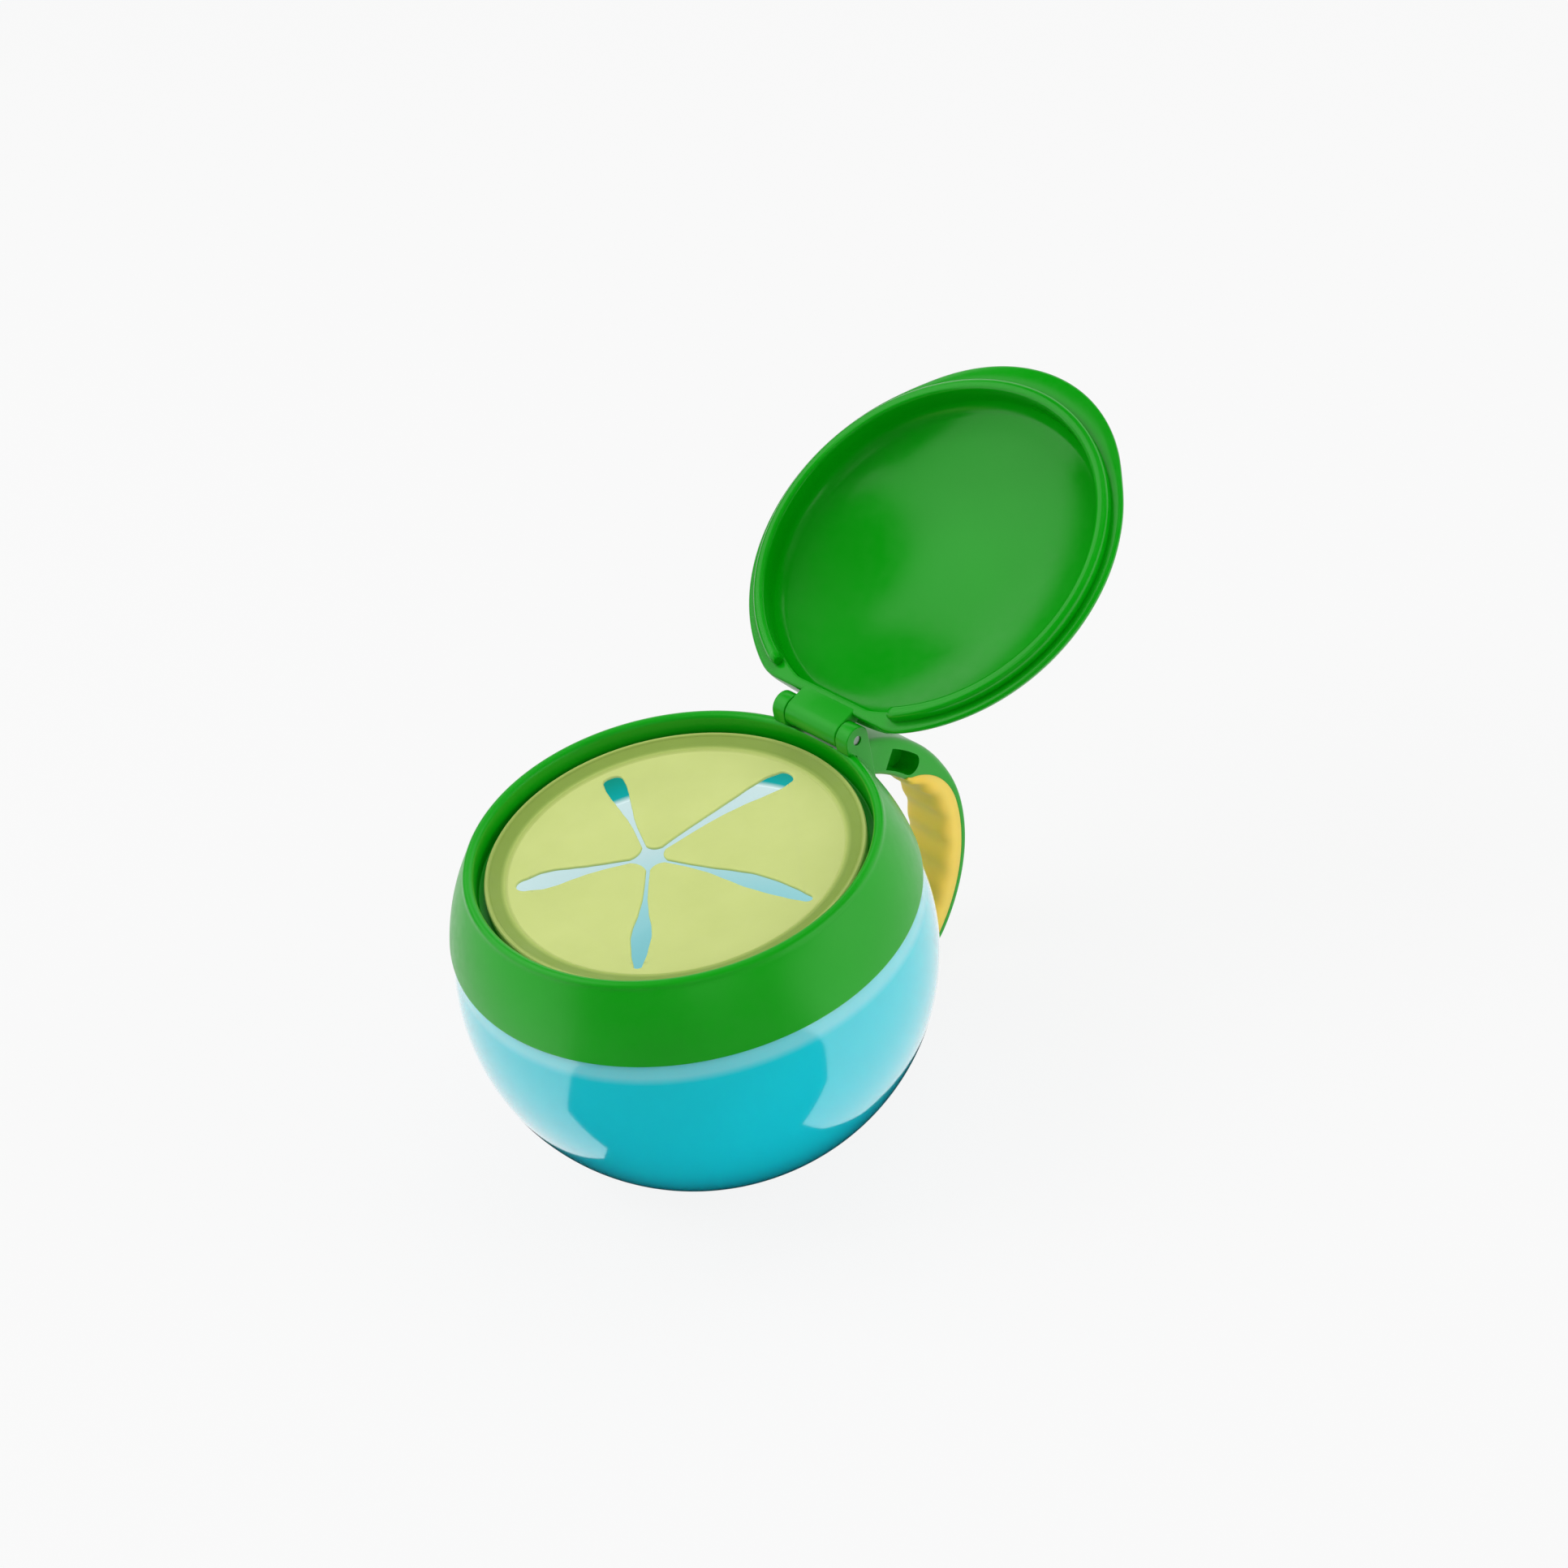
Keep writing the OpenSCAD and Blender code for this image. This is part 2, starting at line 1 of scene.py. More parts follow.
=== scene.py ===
import math
import bpy
import bmesh
from mathutils import Matrix, Vector
from mathutils.geometry import delaunay_2d_cdt


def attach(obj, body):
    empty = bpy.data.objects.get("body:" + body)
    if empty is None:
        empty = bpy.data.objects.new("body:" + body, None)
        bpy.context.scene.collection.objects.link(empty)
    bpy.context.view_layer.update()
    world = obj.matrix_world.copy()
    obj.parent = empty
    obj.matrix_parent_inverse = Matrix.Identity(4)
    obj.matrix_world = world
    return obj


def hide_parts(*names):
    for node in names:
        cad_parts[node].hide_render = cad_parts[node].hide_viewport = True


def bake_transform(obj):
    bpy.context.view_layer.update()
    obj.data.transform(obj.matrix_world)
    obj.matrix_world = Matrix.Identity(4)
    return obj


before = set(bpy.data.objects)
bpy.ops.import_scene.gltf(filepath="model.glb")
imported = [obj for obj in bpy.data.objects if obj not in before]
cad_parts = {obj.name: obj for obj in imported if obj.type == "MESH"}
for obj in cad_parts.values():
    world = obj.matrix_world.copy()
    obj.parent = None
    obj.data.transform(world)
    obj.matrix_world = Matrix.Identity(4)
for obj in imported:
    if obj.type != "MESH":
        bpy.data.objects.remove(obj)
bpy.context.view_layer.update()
MM = 0.001

# ------------------------------------------------------------------ sizes, in mm
BELLY_Z, BOWL_ARC, BOWL_X, WALL = 37.3, 43.8, 3.8, 2.0
SHOULDER, NECK_R, NECK_T, NECK_TOP = 50.7, 40.2, 1.8, 58.6
COL_Z, COL_R, LIP_R, LIP_T, LIP_Z, COL_ARC = 51.0, 46.55, 41.0, 2.2, 65.1, 41.2
BORE, SHELF_Z, SHELF_UNDER, SHELF_R = 41.45, 60.5, 58.8, 34.7
PIN_Y, PIN_Z, KNUCKLE_R, KNUCKLE_L = 40.8, 68.4, 2.95, 14.2
EAR_IN, EAR_OUT, OPEN = 7.25, 10.5, 152.6
LID_Z, LID_R, CHORD_Y, HOLLOW_Y = 66.5, 40.8, 37.0, 34.8
LID_WALL, DOME_TOP_R, DOME_SIDE_R = 1.8, 80, 20
THREAD_LEAD, THREAD_ARC, THREAD_DEPTH = 6, 150, 0.9
SCOOP_R = 3.45          # room for the knuckle in the collar's lip
POCKET_WEB = 1.4        # half of the web between the two pockets in the handle's root
RING_IN, RING_OUT, RING_TIP = 36.15, 38.65, 64.1
H_Y, H_Z, H_R, H_W = 33.3, 29.4, 35.6, 12.8
HOOK_FROM, HOOK_R, HOOK_TO = 45.0, 9.8, 102.0
GRIP_FROM, GRIP_TO = 39.0, -84.0
DISC_Z, RIM_TOP, INSERT_R, SKIRT_IN, SKIRT_OUT = 61.7, 63.2, 37.2, 33.7, 34.4
SHEET = 0.7             # thickness of the soft sheet between the slits
DISC_R = 33.05          # the disc reaches under the rim
STAR = Vector((-4.6, -2.8))     # where the slits meet
REACH = 31.2            # from the axis to the tip of each slit
SLIT_ANGLES = [13, 90, 162, 231, 304]


def rad(a):
    return math.radians(a)


def ease(t):
    t = max(0.0, min(1.0, t))
    return t * t * (3 - 2 * t)


# ------------------------------------------------------------------ mesh helpers
def make(name, verts, faces, body, mat, replaces=(), sharp=40):
    me = bpy.data.meshes.new(name)
    me.from_pydata([tuple(c * MM for c in v) for v in verts], [], faces)
    me.validate()
    bm = bmesh.new()
    bm.from_mesh(me)
    bmesh.ops.remove_doubles(bm, verts=bm.verts, dist=2e-7)
    bmesh.ops.dissolve_degenerate(bm, edges=bm.edges, dist=1e-8)
    bmesh.ops.recalc_face_normals(bm, faces=bm.faces)
    bm.to_mesh(me)
    bm.free()
    ob = bpy.data.objects.new(name, me)
    bpy.context.scene.collection.objects.link(ob)
    finish_piece(ob, body, mat, replaces, sharp)
    return ob


def finish_piece(ob, body, mat, replaces=(), sharp=40):
    ob.data.materials.clear()
    ob.data.materials.append(mat)
    shade(ob, sharp)
    if body:
        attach(ob, body)
    if replaces:
        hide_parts(*replaces)


def shade(ob, sharp=40):
    bm = bmesh.new()
    bm.from_mesh(ob.data)
    for f in bm.faces:
        f.smooth = True
    for e in bm.edges:
        e.smooth = not (len(e.link_faces) == 2 and e.calc_face_angle(0) > rad(sharp))
    bm.to_mesh(ob.data)
    bm.free()


def prism(name, loop, x0, x1, move=None):
    """A plate or rod along x: a loop of (y, z) at x0 and again at x1, both turned by move where it is given."""
    move = move or (lambda points: points)
    bm = bmesh.new()
    a, b = [[bm.verts.new(tuple(c * MM for c in p)) for p in move([(x, y, z) for y, z in loop])]
            for x in (x0, x1)]
    bm.faces.new(a)
    bm.faces.new(list(reversed(b)))
    for i in range(len(a)):
        k = (i + 1) % len(a)
        bm.faces.new((a[i], b[i], b[k], a[k]))
    bmesh.ops.recalc_face_normals(bm, faces=bm.faces)
    me = bpy.data.meshes.new(name)
    bm.to_mesh(me)
    bm.free()
    ob = bpy.data.objects.new(name, me)
    bpy.context.scene.collection.objects.link(ob)
    return ob


def round_edges(ob, width, segments, angle):
    bev = ob.modifiers.new("bevel", "BEVEL")
    bev.width, bev.segments, bev.limit_method, bev.angle_limit = width * MM, segments, "ANGLE", rad(angle)
    bake_modifiers(ob)


def cut_away(ob, cutter):
    bo = ob.modifiers.new("cut", "BOOLEAN")
    bo.operation, bo.solver, bo.object = "DIFFERENCE", "EXACT", cutter
    bake_modifiers(ob)
    bpy.data.objects.remove(cutter)


def bake_modifiers(ob):
    dg = bpy.context.evaluated_depsgraph_get()
    me = bpy.data.meshes.new_from_object(ob.evaluated_get(dg))
    ob.modifiers.clear()
    ob.data = me


def revolve(profile, n):
    """Turns a closed list of (r, z) about the axis."""
    verts, faces = [], []
    m = len(profile)
    for i in range(n):
        a = 2 * math.pi * i / n
        for r, z in profile:
            verts.append((r * math.cos(a), r * math.sin(a), z))
    for i in range(n):
        k = (i + 1) % n
        for j in range(m):
            q = (j + 1) % m
            faces.append((i * m + j, k * m + j, k * m + q, i * m + q))
    return verts, faces


def fillet(points, n=4):
    """points are (x, y, radius); each corner with a radius is rounded."""
    out, m = [], len(points)
    for i, (x, y, r) in enumerate(points):
        p = Vector((x, y))
        if r <= 0:
            out.append((x, y))
            continue
        a = Vector(points[i - 1][:2]) - p
        b = Vector(points[(i + 1) % m][:2]) - p
        half = a.angle(b) / 2
        t = min(r / math.tan(half), a.length * 0.48, b.length * 0.48)
        s, e = p + a.normalized() * t, p + b.normalized() * t
        for k in range(n + 1):
            u = k / n
            q = s * (1 - u) ** 2 + p * 2 * u * (1 - u) + e * u * u
            out.append((q.x, q.y))
    return out


def sweep(rings):
    """A closed tube through rings of points, with a fan of faces over each end."""
    n, m = len(rings[0]), len(rings)
    verts = [p for r in rings for p in r]
    faces = []
    for i in range(m - 1):
        for j in range(n):
            q = (j + 1) % n
            faces.append((i * n + j, i * n + q, (i + 1) * n + q, (i + 1) * n + j))
    for base in (0, (m - 1) * n):
        c = len(verts)
        pts = [Vector(verts[base + j]) for j in range(n)]
        verts.append(tuple(sum(pts, Vector()) / n))
        for j in range(n):
            faces.append((base + j, base + (j + 1) % n, c))
    return verts, faces


def thread(k, r, z0, way):
    """Start k of a two-start thread on radius r from height z0; way is 1 for an outer thread, -1 for an inner."""
    rings = []
    for i in range(61):
        a = rad(THREAD_ARC * i / 60 + 180 * k)
        z = z0 + THREAD_LEAD * THREAD_ARC * i / 60 / 360
        end = min(1, i / 4, (60 - i) / 4)
        d = THREAD_DEPTH * math.sqrt(max(0.04, end))
        section = [(-0.3, 0), (d * 0.8, 0.35), (d, 0.6), (d, 1.0), (d * 0.8, 1.25), (-0.3, 1.6)]
        rings.append([((r + way * e) * math.cos(a), (r + way * e) * math.sin(a), z + h) for e, h in section])
    return sweep(rings)


# ------------------------------------------------------------------ materials
def srgb(r, g, b):
    def f(c):
        c /= 255
        return c / 12.92 if c <= 0.04045 else ((c + 0.055) / 1.055) ** 2.4
    return (f(r), f(g), f(b), 1)


class Nodes:
    def __init__(self, name):
        self.mat = bpy.data.materials.new(name)
        self.mat.use_nodes = True
        self.nt = self.mat.node_tree
        self.b = self.nt.nodes["Principled BSDF"]
        self.co = self.nt.nodes.new("ShaderNodeTexCoord").outputs["Object"]

    def new(self, kind, **kw):
        n = self.nt.nodes.new(kind)
        for k, v in kw.items():
            setattr(n, k, v)
        return n

    def link(self, a, b):
        self.nt.links.new(a, b)

    def noise(self, scale, detail=3, rough=0.5, stretch=None):
        n = self.new("ShaderNodeTexNoise")
        n.inputs["Scale"].default_value = scale
        n.inputs["Detail"].default_value = detail
        n.inputs["Roughness"].default_value = rough
        co = self.co
        if stretch:
            m = self.new("ShaderNodeMapping")
            m.inputs["Scale"].default_value = stretch
            self.link(self.co, m.inputs["Vector"])
            co = m.outputs["Vector"]
        self.link(co, n.inputs["Vector"])
        return n.outputs["Fac"]

    def ramp(self, fac, stops):
        r = self.new("ShaderNodeValToRGB")
        e = r.color_ramp.elements
        while len(e) > 1:
            e.remove(e[-1])
        e[0].position, e[0].color = stops[0]
        for pos, col in stops[1:]:
            x = e.new(pos)
            x.color = col
        self.link(fac, r.inputs["Fac"])
        return r.outputs["Color"]

    def span(self, fac, a, b, lo=0.3, hi=0.7):
        m = self.new("ShaderNodeMapRange")
        m.inputs["From Min"].default_value = lo
        m.inputs["From Max"].default_value = hi
        m.inputs["To Min"].default_value = a
        m.inputs["To Max"].default_value = b
        self.link(fac, m.inputs["Value"])
        return m.outputs["Result"]

    def tinted(self, tone, scale, detail, low):
        """Base colour: the tone, dimmed in places by fine noise down to low."""
        mix = self.new("ShaderNodeMix", data_type="RGBA", blend_type="MULTIPLY")
        mix.inputs["Factor"].default_value = 1
        self.link(tone, mix.inputs["A"])
        self.link(self.ramp(self.noise(scale, detail), [(0.3, low + (1,)), (0.7, (1, 1, 1, 1))]), mix.inputs["B"])
        self.link(mix.outputs["Result"], self.b.inputs["Base Color"])

    def soften(self, weight, radius, scale):
        self.b.inputs["Subsurface Weight"].default_value = weight
        self.b.inputs["Subsurface Radius"].default_value = radius
        self.b.inputs["Subsurface Scale"].default_value = scale

    def bump(self, height, strength, distance):
        n = self.new("ShaderNodeBump")
        n.inputs["Strength"].default_value = strength
        n.inputs["Distance"].default_value = distance
        self.link(height, n.inputs["Height"])
        self.link(n.outputs["Normal"], self.b.inputs["Normal"])


def green_material(name, dark, mid, light, rough_a, rough_b):
    n = Nodes(name)
    # slow change of tone in the moulding, with a fine satin grain over it
    n.link(n.ramp(n.noise(26, 2, 0.5), [(0.3, dark), (0.5, mid), (0.72, light)]), n.b.inputs["Base Color"])
    n.link(n.span(n.noise(420, 4, 0.6), rough_a, rough_b), n.b.inputs["Roughness"])
    n.b.inputs["IOR"].default_value = 1.48
    n.bump(n.noise(1500, 2, 0.5), 0.08, 0.00003)
    return n.mat


def bowl_material(name, stops, radius, coat, through=None):
    n = Nodes(name)
    sep = n.new("ShaderNodeSeparateXYZ")
    n.link(n.co, sep.inputs[0])
    tone = n.ramp(n.span(sep.outputs[2], 0, 1, 0.0, 0.06), stops)
    n.tinted(tone, 22, 2, (0.95, 0.97, 0.97))
    n.link(n.span(n.noise(60, 3), 0.08, 0.13), n.b.inputs["Roughness"])
    n.b.inputs["IOR"].default_value = 1.48
    n.soften(1.0, radius, 0.001)
    n.b.inputs["Coat Weight"].default_value = coat
    n.b.inputs["Coat IOR"].default_value = 1.75
    n.b.inputs["Coat Roughness"].default_value = 0.1
    if through:
        # a faint painted glow that stands in for daylight through the thin wall, from the belly up to the covered
        # neck
        n.link(n.ramp(n.span(sep.outputs[2], 0, 1, 0.0, 0.06), through), n.b.inputs["Emission Color"])
        n.b.inputs["Emission Strength"].default_value = 1.0
    n.bump(n.noise(40, 1), 0.04, 0.0002)
    return n.mat


def insert_material():
    n = Nodes("soft_insert_moulding")
    # the thick rim is deeper in tone than the thin disc; the lighter line at the rim's outer edge is a painted
    # highlight
    sep = n.new("ShaderNodeSeparateXYZ")
    n.link(n.co, sep.inputs[0])
    flat = n.new("ShaderNodeCombineXYZ")
    n.link(sep.outputs[0], flat.inputs[0])
    n.link(sep.outputs[1], flat.inputs[1])
    length = n.new("ShaderNodeVectorMath", operation="LENGTH")
    n.link(flat.outputs[0], length.inputs[0])
    share = n.new("ShaderNodeMath", operation="MULTIPLY")
    n.link(length.outputs["Value"], share.inputs[0])
    share.inputs[1].default_value = 25.0
    disc, rim = srgb(190, 200, 124), srgb(128, 152, 66)
    base = n.ramp(share.outputs[0], [(0.0, disc), (0.815, disc), (0.832, srgb(168, 184, 100)),
                                     (0.855, rim), (0.905, rim), (0.925, srgb(178, 192, 110)),
                                     (0.928, srgb(196, 204, 124))])
    n.tinted(base, 70, 4, (0.93, 0.94, 0.9))
    n.link(n.span(n.noise(300, 3), 0.42, 0.56), n.b.inputs["Roughness"])
    n.soften(0.2, (1.0, 1.0, 0.7), 0.0008)
    n.bump(n.noise(900, 4, 0.7), 0.2, 0.00005)
    return n.mat


def grip_material():
    n = Nodes("yellow_grip_rubber")
    # the inner face, held by the hand, is painted warmer and brighter than the sides to make up for its shade and
    # the green light the collar throws on it;
    # its distance from the middle of the arc tells them apart
    place = n.new("ShaderNodeMapping")
    place.inputs["Location"].default_value = (0, -H_Y * MM, -H_Z * MM)
    place.inputs["Scale"].default_value = (0, 1, 1)
    n.link(n.co, place.inputs["Vector"])
    length = n.new("ShaderNodeVectorMath", operation="LENGTH")
    n.link(place.outputs["Vector"], length.inputs[0])
    tone = n.ramp(n.span(length.outputs["Value"], 0, 1, 0.027, 0.034),
                  [(0.0, srgb(255, 196, 62)), (0.35, srgb(255, 200, 70)), (0.7, srgb(246, 206, 92))])
    n.tinted(tone, 60, 3, (0.95, 0.95, 0.93))
    n.link(n.span(n.noise(260, 3), 0.5, 0.66), n.b.inputs["Roughness"])
    n.soften(0.5, (1.0, 0.75, 0.3), 0.003)
    n.bump(n.noise(1300, 3, 0.6), 0.25, 0.00004)
    return n.mat


def steel_material():
    n = Nodes("pin_steel")
    n.b.inputs["Metallic"].default_value = 1
    n.link(n.ramp(n.noise(200, 3), [(0.3, (0.24, 0.3, 0.25, 1)), (0.7, (0.36, 0.42, 0.37, 1))]),
           n.b.inputs["Base Color"])
    n.link(n.span(n.noise(900, 4, 0.6, (40, 1, 1)), 0.25, 0.4), n.b.inputs["Roughness"])
    return n.mat


GREEN = green_material("green_plastic_satin",
                       srgb(0, 143, 4), srgb(1, 148, 7), srgb(4, 153, 11), 0.28, 0.36)
GREEN_GLOSS = green_material("green_plastic_gloss",
                             srgb(0, 138, 3), srgb(1, 143, 6), srgb(3, 148, 9), 0.17, 0.25)
# the paler stops near the top of this ramp, about 48 to 51 mm up, are a painted highlight along the bowl's shoulder
# just under the collar
BLUE = bowl_material("clear_blue_plastic",
                     [(0.0, srgb(0, 194, 212)), (0.775, srgb(24, 194, 206)), (0.8, srgb(120, 206, 214)),
                      (0.85, srgb(120, 206, 214))], (0.6, 1.6, 1.9), 1.0)
# painted light inside the bowl: tone and glow grow paler with height up to the shoulder, then turn dark teal as
# painted shade under the collar
BLUE_INSIDE_PAINTED_LIGHT = bowl_material("clear_blue_inside_painted_light",
                        [(0.0, srgb(60, 130, 145)), (0.815, srgb(120, 145, 148)), (0.835, srgb(0, 96, 90)),
                         (1.0, srgb(0, 80, 60))], (2, 2, 2), 0.0,
                        [(0.0, (0.1, 0.36, 0.42, 1)), (0.3, (0.26, 0.5, 0.52, 1)), (0.5, (0.5, 0.6, 0.6, 1)),
                         (0.815, (0.58, 0.64, 0.63, 1)), (0.835, (0.0, 0.32, 0.32, 1)),
                         (0.9, (0.0, 0.25, 0.2, 1)), (1.0, (0.0, 0.16, 0.1, 1))])
SOFT = insert_material()
YELLOW = grip_material()
STEEL = steel_material()


# ------------------------------------------------------------------ bowl
def bowl_r(z, inset=0.0):
    return BOWL_X + math.sqrt(max(0, (BOWL_ARC - inset) ** 2 - (BELLY_Z - z) ** 2))


def bowl_piece():
    outer = [(0.02, 0.0, 0), (bowl_r(0) - 0.15, 0.0, 2.2)]
    outer += [(bowl_r(z), z, 0) for z in [1.6 + (49.2 - 1.6) * i / 54 for i in range(55)]]
    outer += [(bowl_r(50.7) - 0.15, SHOULDER, 1.2), (NECK_R, SHOULDER, 0.5), (NECK_R, NECK_TOP, 0.6),
              (NECK_R - NECK_T, NECK_TOP, 0.6), (NECK_R - NECK_T, SHOULDER - 2.4, 1.4)]
    outer += [(bowl_r(z, WALL), z, 0) for z in [46.2 - (46.2 - 3.2) * i / 50 for i in range(51)]]
    outer += [(bowl_r(2.0, WALL) - 0.3, 2.0, 1.4), (0.02, 2.0, 0)]
    v, f = revolve(fillet(outer, 5), 256)
    for k in range(2):
        v2, f2 = thread(k, NECK_R, 54.1, 1)
        make("bowl_thread_%d" % (k + 1), v2, f2, "bowl", BLUE)
    shell = make("bowl_shell", v, f, "bowl", BLUE, ["bowl"])
    # the inner faces have their own tone and glow, painted light that stands in for light through the wall
    shell.data.materials.append(BLUE_INSIDE_PAINTED_LIGHT)
    for p in shell.data.polygons:
        c = p.center / MM
        if c.z > 1 and math.hypot(c.x, c.y) < (bowl_r(c.z) - 0.8 if c.z < 49 else NECK_R - 1):
            p.material_index = 1
    return shell


bowl_piece()


# ------------------------------------------------------------------ collar
SIDE_MID = Vector(((COL_R + LIP_R) / 2, (COL_Z + LIP_Z) / 2))
SIDE_HALF = (Vector((COL_R, COL_Z)) - Vector((LIP_R, LIP_Z))).length / 2
SIDE_DIR = Vector((LIP_Z - COL_Z, COL_R - LIP_R)) / (2 * SIDE_HALF)
SIDE_C = SIDE_MID - SIDE_DIR * math.sqrt(COL_ARC ** 2 - SIDE_HALF ** 2)


def collar_r(z):
    return SIDE_C.x + math.sqrt(COL_ARC ** 2 - (z - SIDE_C.y) ** 2)


def collar_piece():
    side = [(collar_r(z), z, 0) for z in [51.7 + (64.9 - 51.7) * i / 36 for i in range(37)]]
    lip = [(LIP_R - 1.1 + 1.1 * math.cos(rad(a)), LIP_Z + 1.1 * math.sin(rad(a)), 0) for a in range(8, 181, 12)]
    prof = [(COL_R - 1.4, COL_Z, 0.3), (COL_R, COL_Z, 0.5)] + side + lip
    prof += [(LIP_R - LIP_T, SHELF_Z, 0.4), (SHELF_R, SHELF_Z, 0.3), (SHELF_R, SHELF_UNDER, 0.3),
             (BORE, SHELF_UNDER, 0.4), (BORE, COL_Z + 1.02, 0.4), (COL_R - 1.6, COL_Z + 0.4, 0.2)]
    v, f = revolve(fillet(prof, 4), 360)
    # the lip is scooped under the lid's knuckle
    out = []
    for x, y, z in v:
        if y > 30 and z > 63.5:
            side_fade = ease((7.6 - abs(x)) / 0.5)
            d = math.hypot(y - PIN_Y, z - PIN_Z)
            if side_fade > 0 and d < SCOOP_R:
                low = PIN_Z - math.sqrt(max(0.0, SCOOP_R ** 2 - (y - PIN_Y) ** 2))
                z = z + (min(z, low) - z) * side_fade
        out.append((x, y, z))
    ob = make("collar_shell", out, f, "collar", GREEN, ["collar"])
    for k in range(2):
        v2, f2 = thread(k, BORE, 52.6, -1)
        make("collar_thread_%d" % (k + 1), v2, f2, "collar", GREEN)
    return ob


collar_piece()


def ear(name, x0, x1, outer_side):
    """One hinge ear: a plate with a round top whose foot runs into the collar's slope."""
    r = KNUCKLE_R
    pts = [(PIN_Y + r * math.cos(rad(a)), PIN_Z + r * math.sin(rad(a)), 0) for a in range(0, 181, 9)]
    pts += [(PIN_Y - r, 66.4, 0.3), (39.9, 65.2, 0.2), (40.6, 60.0, 0), (42.6, 56.8, 0), (43.9, 56.2, 0),
            (PIN_Y + r + 0.05, 60.5, 0)]
    ob = prism(name, fillet(pts, 3), x0, x1)
    round_edges(ob, 0.55, 4, 50)
    cut_away(ob, pin_rod(outer_side - 0.55, outer_side + 0.55, 1.02))
    finish_piece(ob, "collar", GREEN, (), 35)
    return ob


def pin_rod(x0, x1, r, n=64):
    """A round cutter on the pin's axis."""
    turns = [2 * math.pi * i / n for i in range(n)]
    return prism("cut", [(PIN_Y + r * math.cos(t), PIN_Z + r * math.sin(t)) for t in turns], x0, x1)


ear("hinge_ear_right", EAR_IN, EAR_OUT, EAR_OUT)
ear("hinge_ear_left", -EAR_OUT, -EAR_IN, -EAR_OUT)


# ------------------------------------------------------------------ handle and grip
HOOK_C = Vector((H_Y, H_Z)) + (H_R - HOOK_R) * Vector((math.cos(rad(HOOK_FROM)), -math.sin(rad(HOOK_FROM))))


def outer_point(a):
    d = Vector((math.cos(rad(a)), math.sin(rad(a))))
    return HOOK_C + HOOK_R * d if a < -HOOK_FROM else Vector((H_Y, H_Z)) + H_R * d


def full_t(a):
    return 5.2 + 2.7 * ease((a - 5) / 40) - 1.2 * ease((-a - 70) / 40)


def shell_t(a):
    if a > GRIP_FROM or a < GRIP_TO:
        return full_t(a)
    return min(full_t(a) - 0.8, 1.4 + 6 * max(0, (a - 5) / 34) ** 2.2 + 3 * max(0, (-a - 60) / 24) ** 3)


def rib(a):
    u = (GRIP_FROM - a) / (GRIP_FROM - GRIP_TO)
    w = (1 - math.cos(10 * 2 * math.pi * u)) / 2
    return 0.75 * w * ease((GRIP_FROM - a) / 6) * ease((a - GRIP_TO) / 10)


def round_section(w, d0, r0, d1, r1, n=5):
    """Corners (x, depth) of a box with rounded corners."""
    out = []
    for cx, cy, r, s in ((w - r0, d0 + r0, r0, -90), (w - r1, d1 - r1, r1, 0),
                         (-w + r1, d1 - r1, r1, 90), (-w + r0, d0 + r0, r0, 180)):
        for k in range(n + 1):
            t = rad(s + 90 * k / n)
            out.append((cx + r * math.cos(t), cy + r * math.sin(t)))
    return out


def place(section, a):
    o, c, s = outer_point(a), math.cos(rad(a)), math.sin(rad(a))
    return [(x, o.x - d * c, o.y - d * s) for x, d in section]


def handle_pieces():
    w = H_W / 2
    stations = [82 - (82 - 39.1) * i / 40 for i in range(41)]
    stations += [39 - 123 * i / 110 for i in range(111)]
    stations += [-84.1 - (HOOK_TO - 84.1) * i / 14 for i in range(15)]
    rings = []
    for a in stations:
        t = shell_t(a)
        whole = a > GRIP_FROM or a < GRIP_TO
        end = math.sqrt(max(0.0, 1 - (1 - min(1, (a + HOOK_TO) / 9)) ** 2)) if a < -93 else 1
        flare = 0.5 * ease((a - 62) / 14)
        wa = (w - 1.6 + 1.6 * end) + flare
        d0, d1 = 1.1 * (1 - end), t - (1 - end) * 1.1
        r0 = min(1.5, (d1 - d0) / 2.1)
        r1 = min(1.3, (d1 - d0) / 2.1) if whole else 0.15
        rings.append(place(round_section(wa, d0, r0, d1, r1), a))
    # the root ends inside the collar's wall
    fixed = []
    for r in rings:
        new = []
        for x, y, z in r:
            if y < 50 and 50 < z < 65.5:
                limit = collar_r(min(z, 65.0)) - 1.3
                if math.hypot(x, y) < limit:
                    y = math.sqrt(max(0, limit * limit - x * x))
            new.append((x, y, z))
        fixed.append(new)
    v, f = sweep(fixed)
    shell = make("handle_shell", v, f, None, GREEN)
    mid, turn = 31.2, 37 + 2.3 / 31.2 * 180 / math.pi
    loop = []
    for i in range(9):
        t = 54.7 + (turn - 54.7) * i / 8
        loop.append((33.5, t))
    cap = [(mid + 2.3 * math.cos(rad(b)), -2.3 * math.sin(rad(b))) for b in range(15, 180, 15)]
    outline = [(H_Y + r * math.cos(rad(t)), H_Z + r * math.sin(rad(t))) for r, t in loop]
    ct, st = math.cos(rad(turn)), math.sin(rad(turn))
    outline += [(H_Y + u * ct - s * st, H_Z + u * st + s * ct) for u, s in cap]
    outline += [(H_Y + 28.9 * math.cos(rad(t)), H_Z + 28.9 * math.sin(rad(t))) for _, t in reversed(loop)]
    for side in (1, -1):
        cut_away(shell, prism("cut", outline, side * POCKET_WEB, side * 9))
    finish_piece(shell, "collar", GREEN, ["handle"], 38)

    rings = []
    for i in range(241):
        a = GRIP_FROM - (GRIP_FROM - GRIP_TO) * i / 240
        d0, d1 = shell_t(a), full_t(a) + rib(a)
        r1 = min(3.2, (d1 - d0) / 1.6)
        rings.append(place(round_section(w - 0.02, d0, 0.1, d1, r1), a))
    v, f = sweep(rings)
    make("handle_grip_pad", v, f, "collar", YELLOW, ["handle_grip"], 50)


handle_pieces()


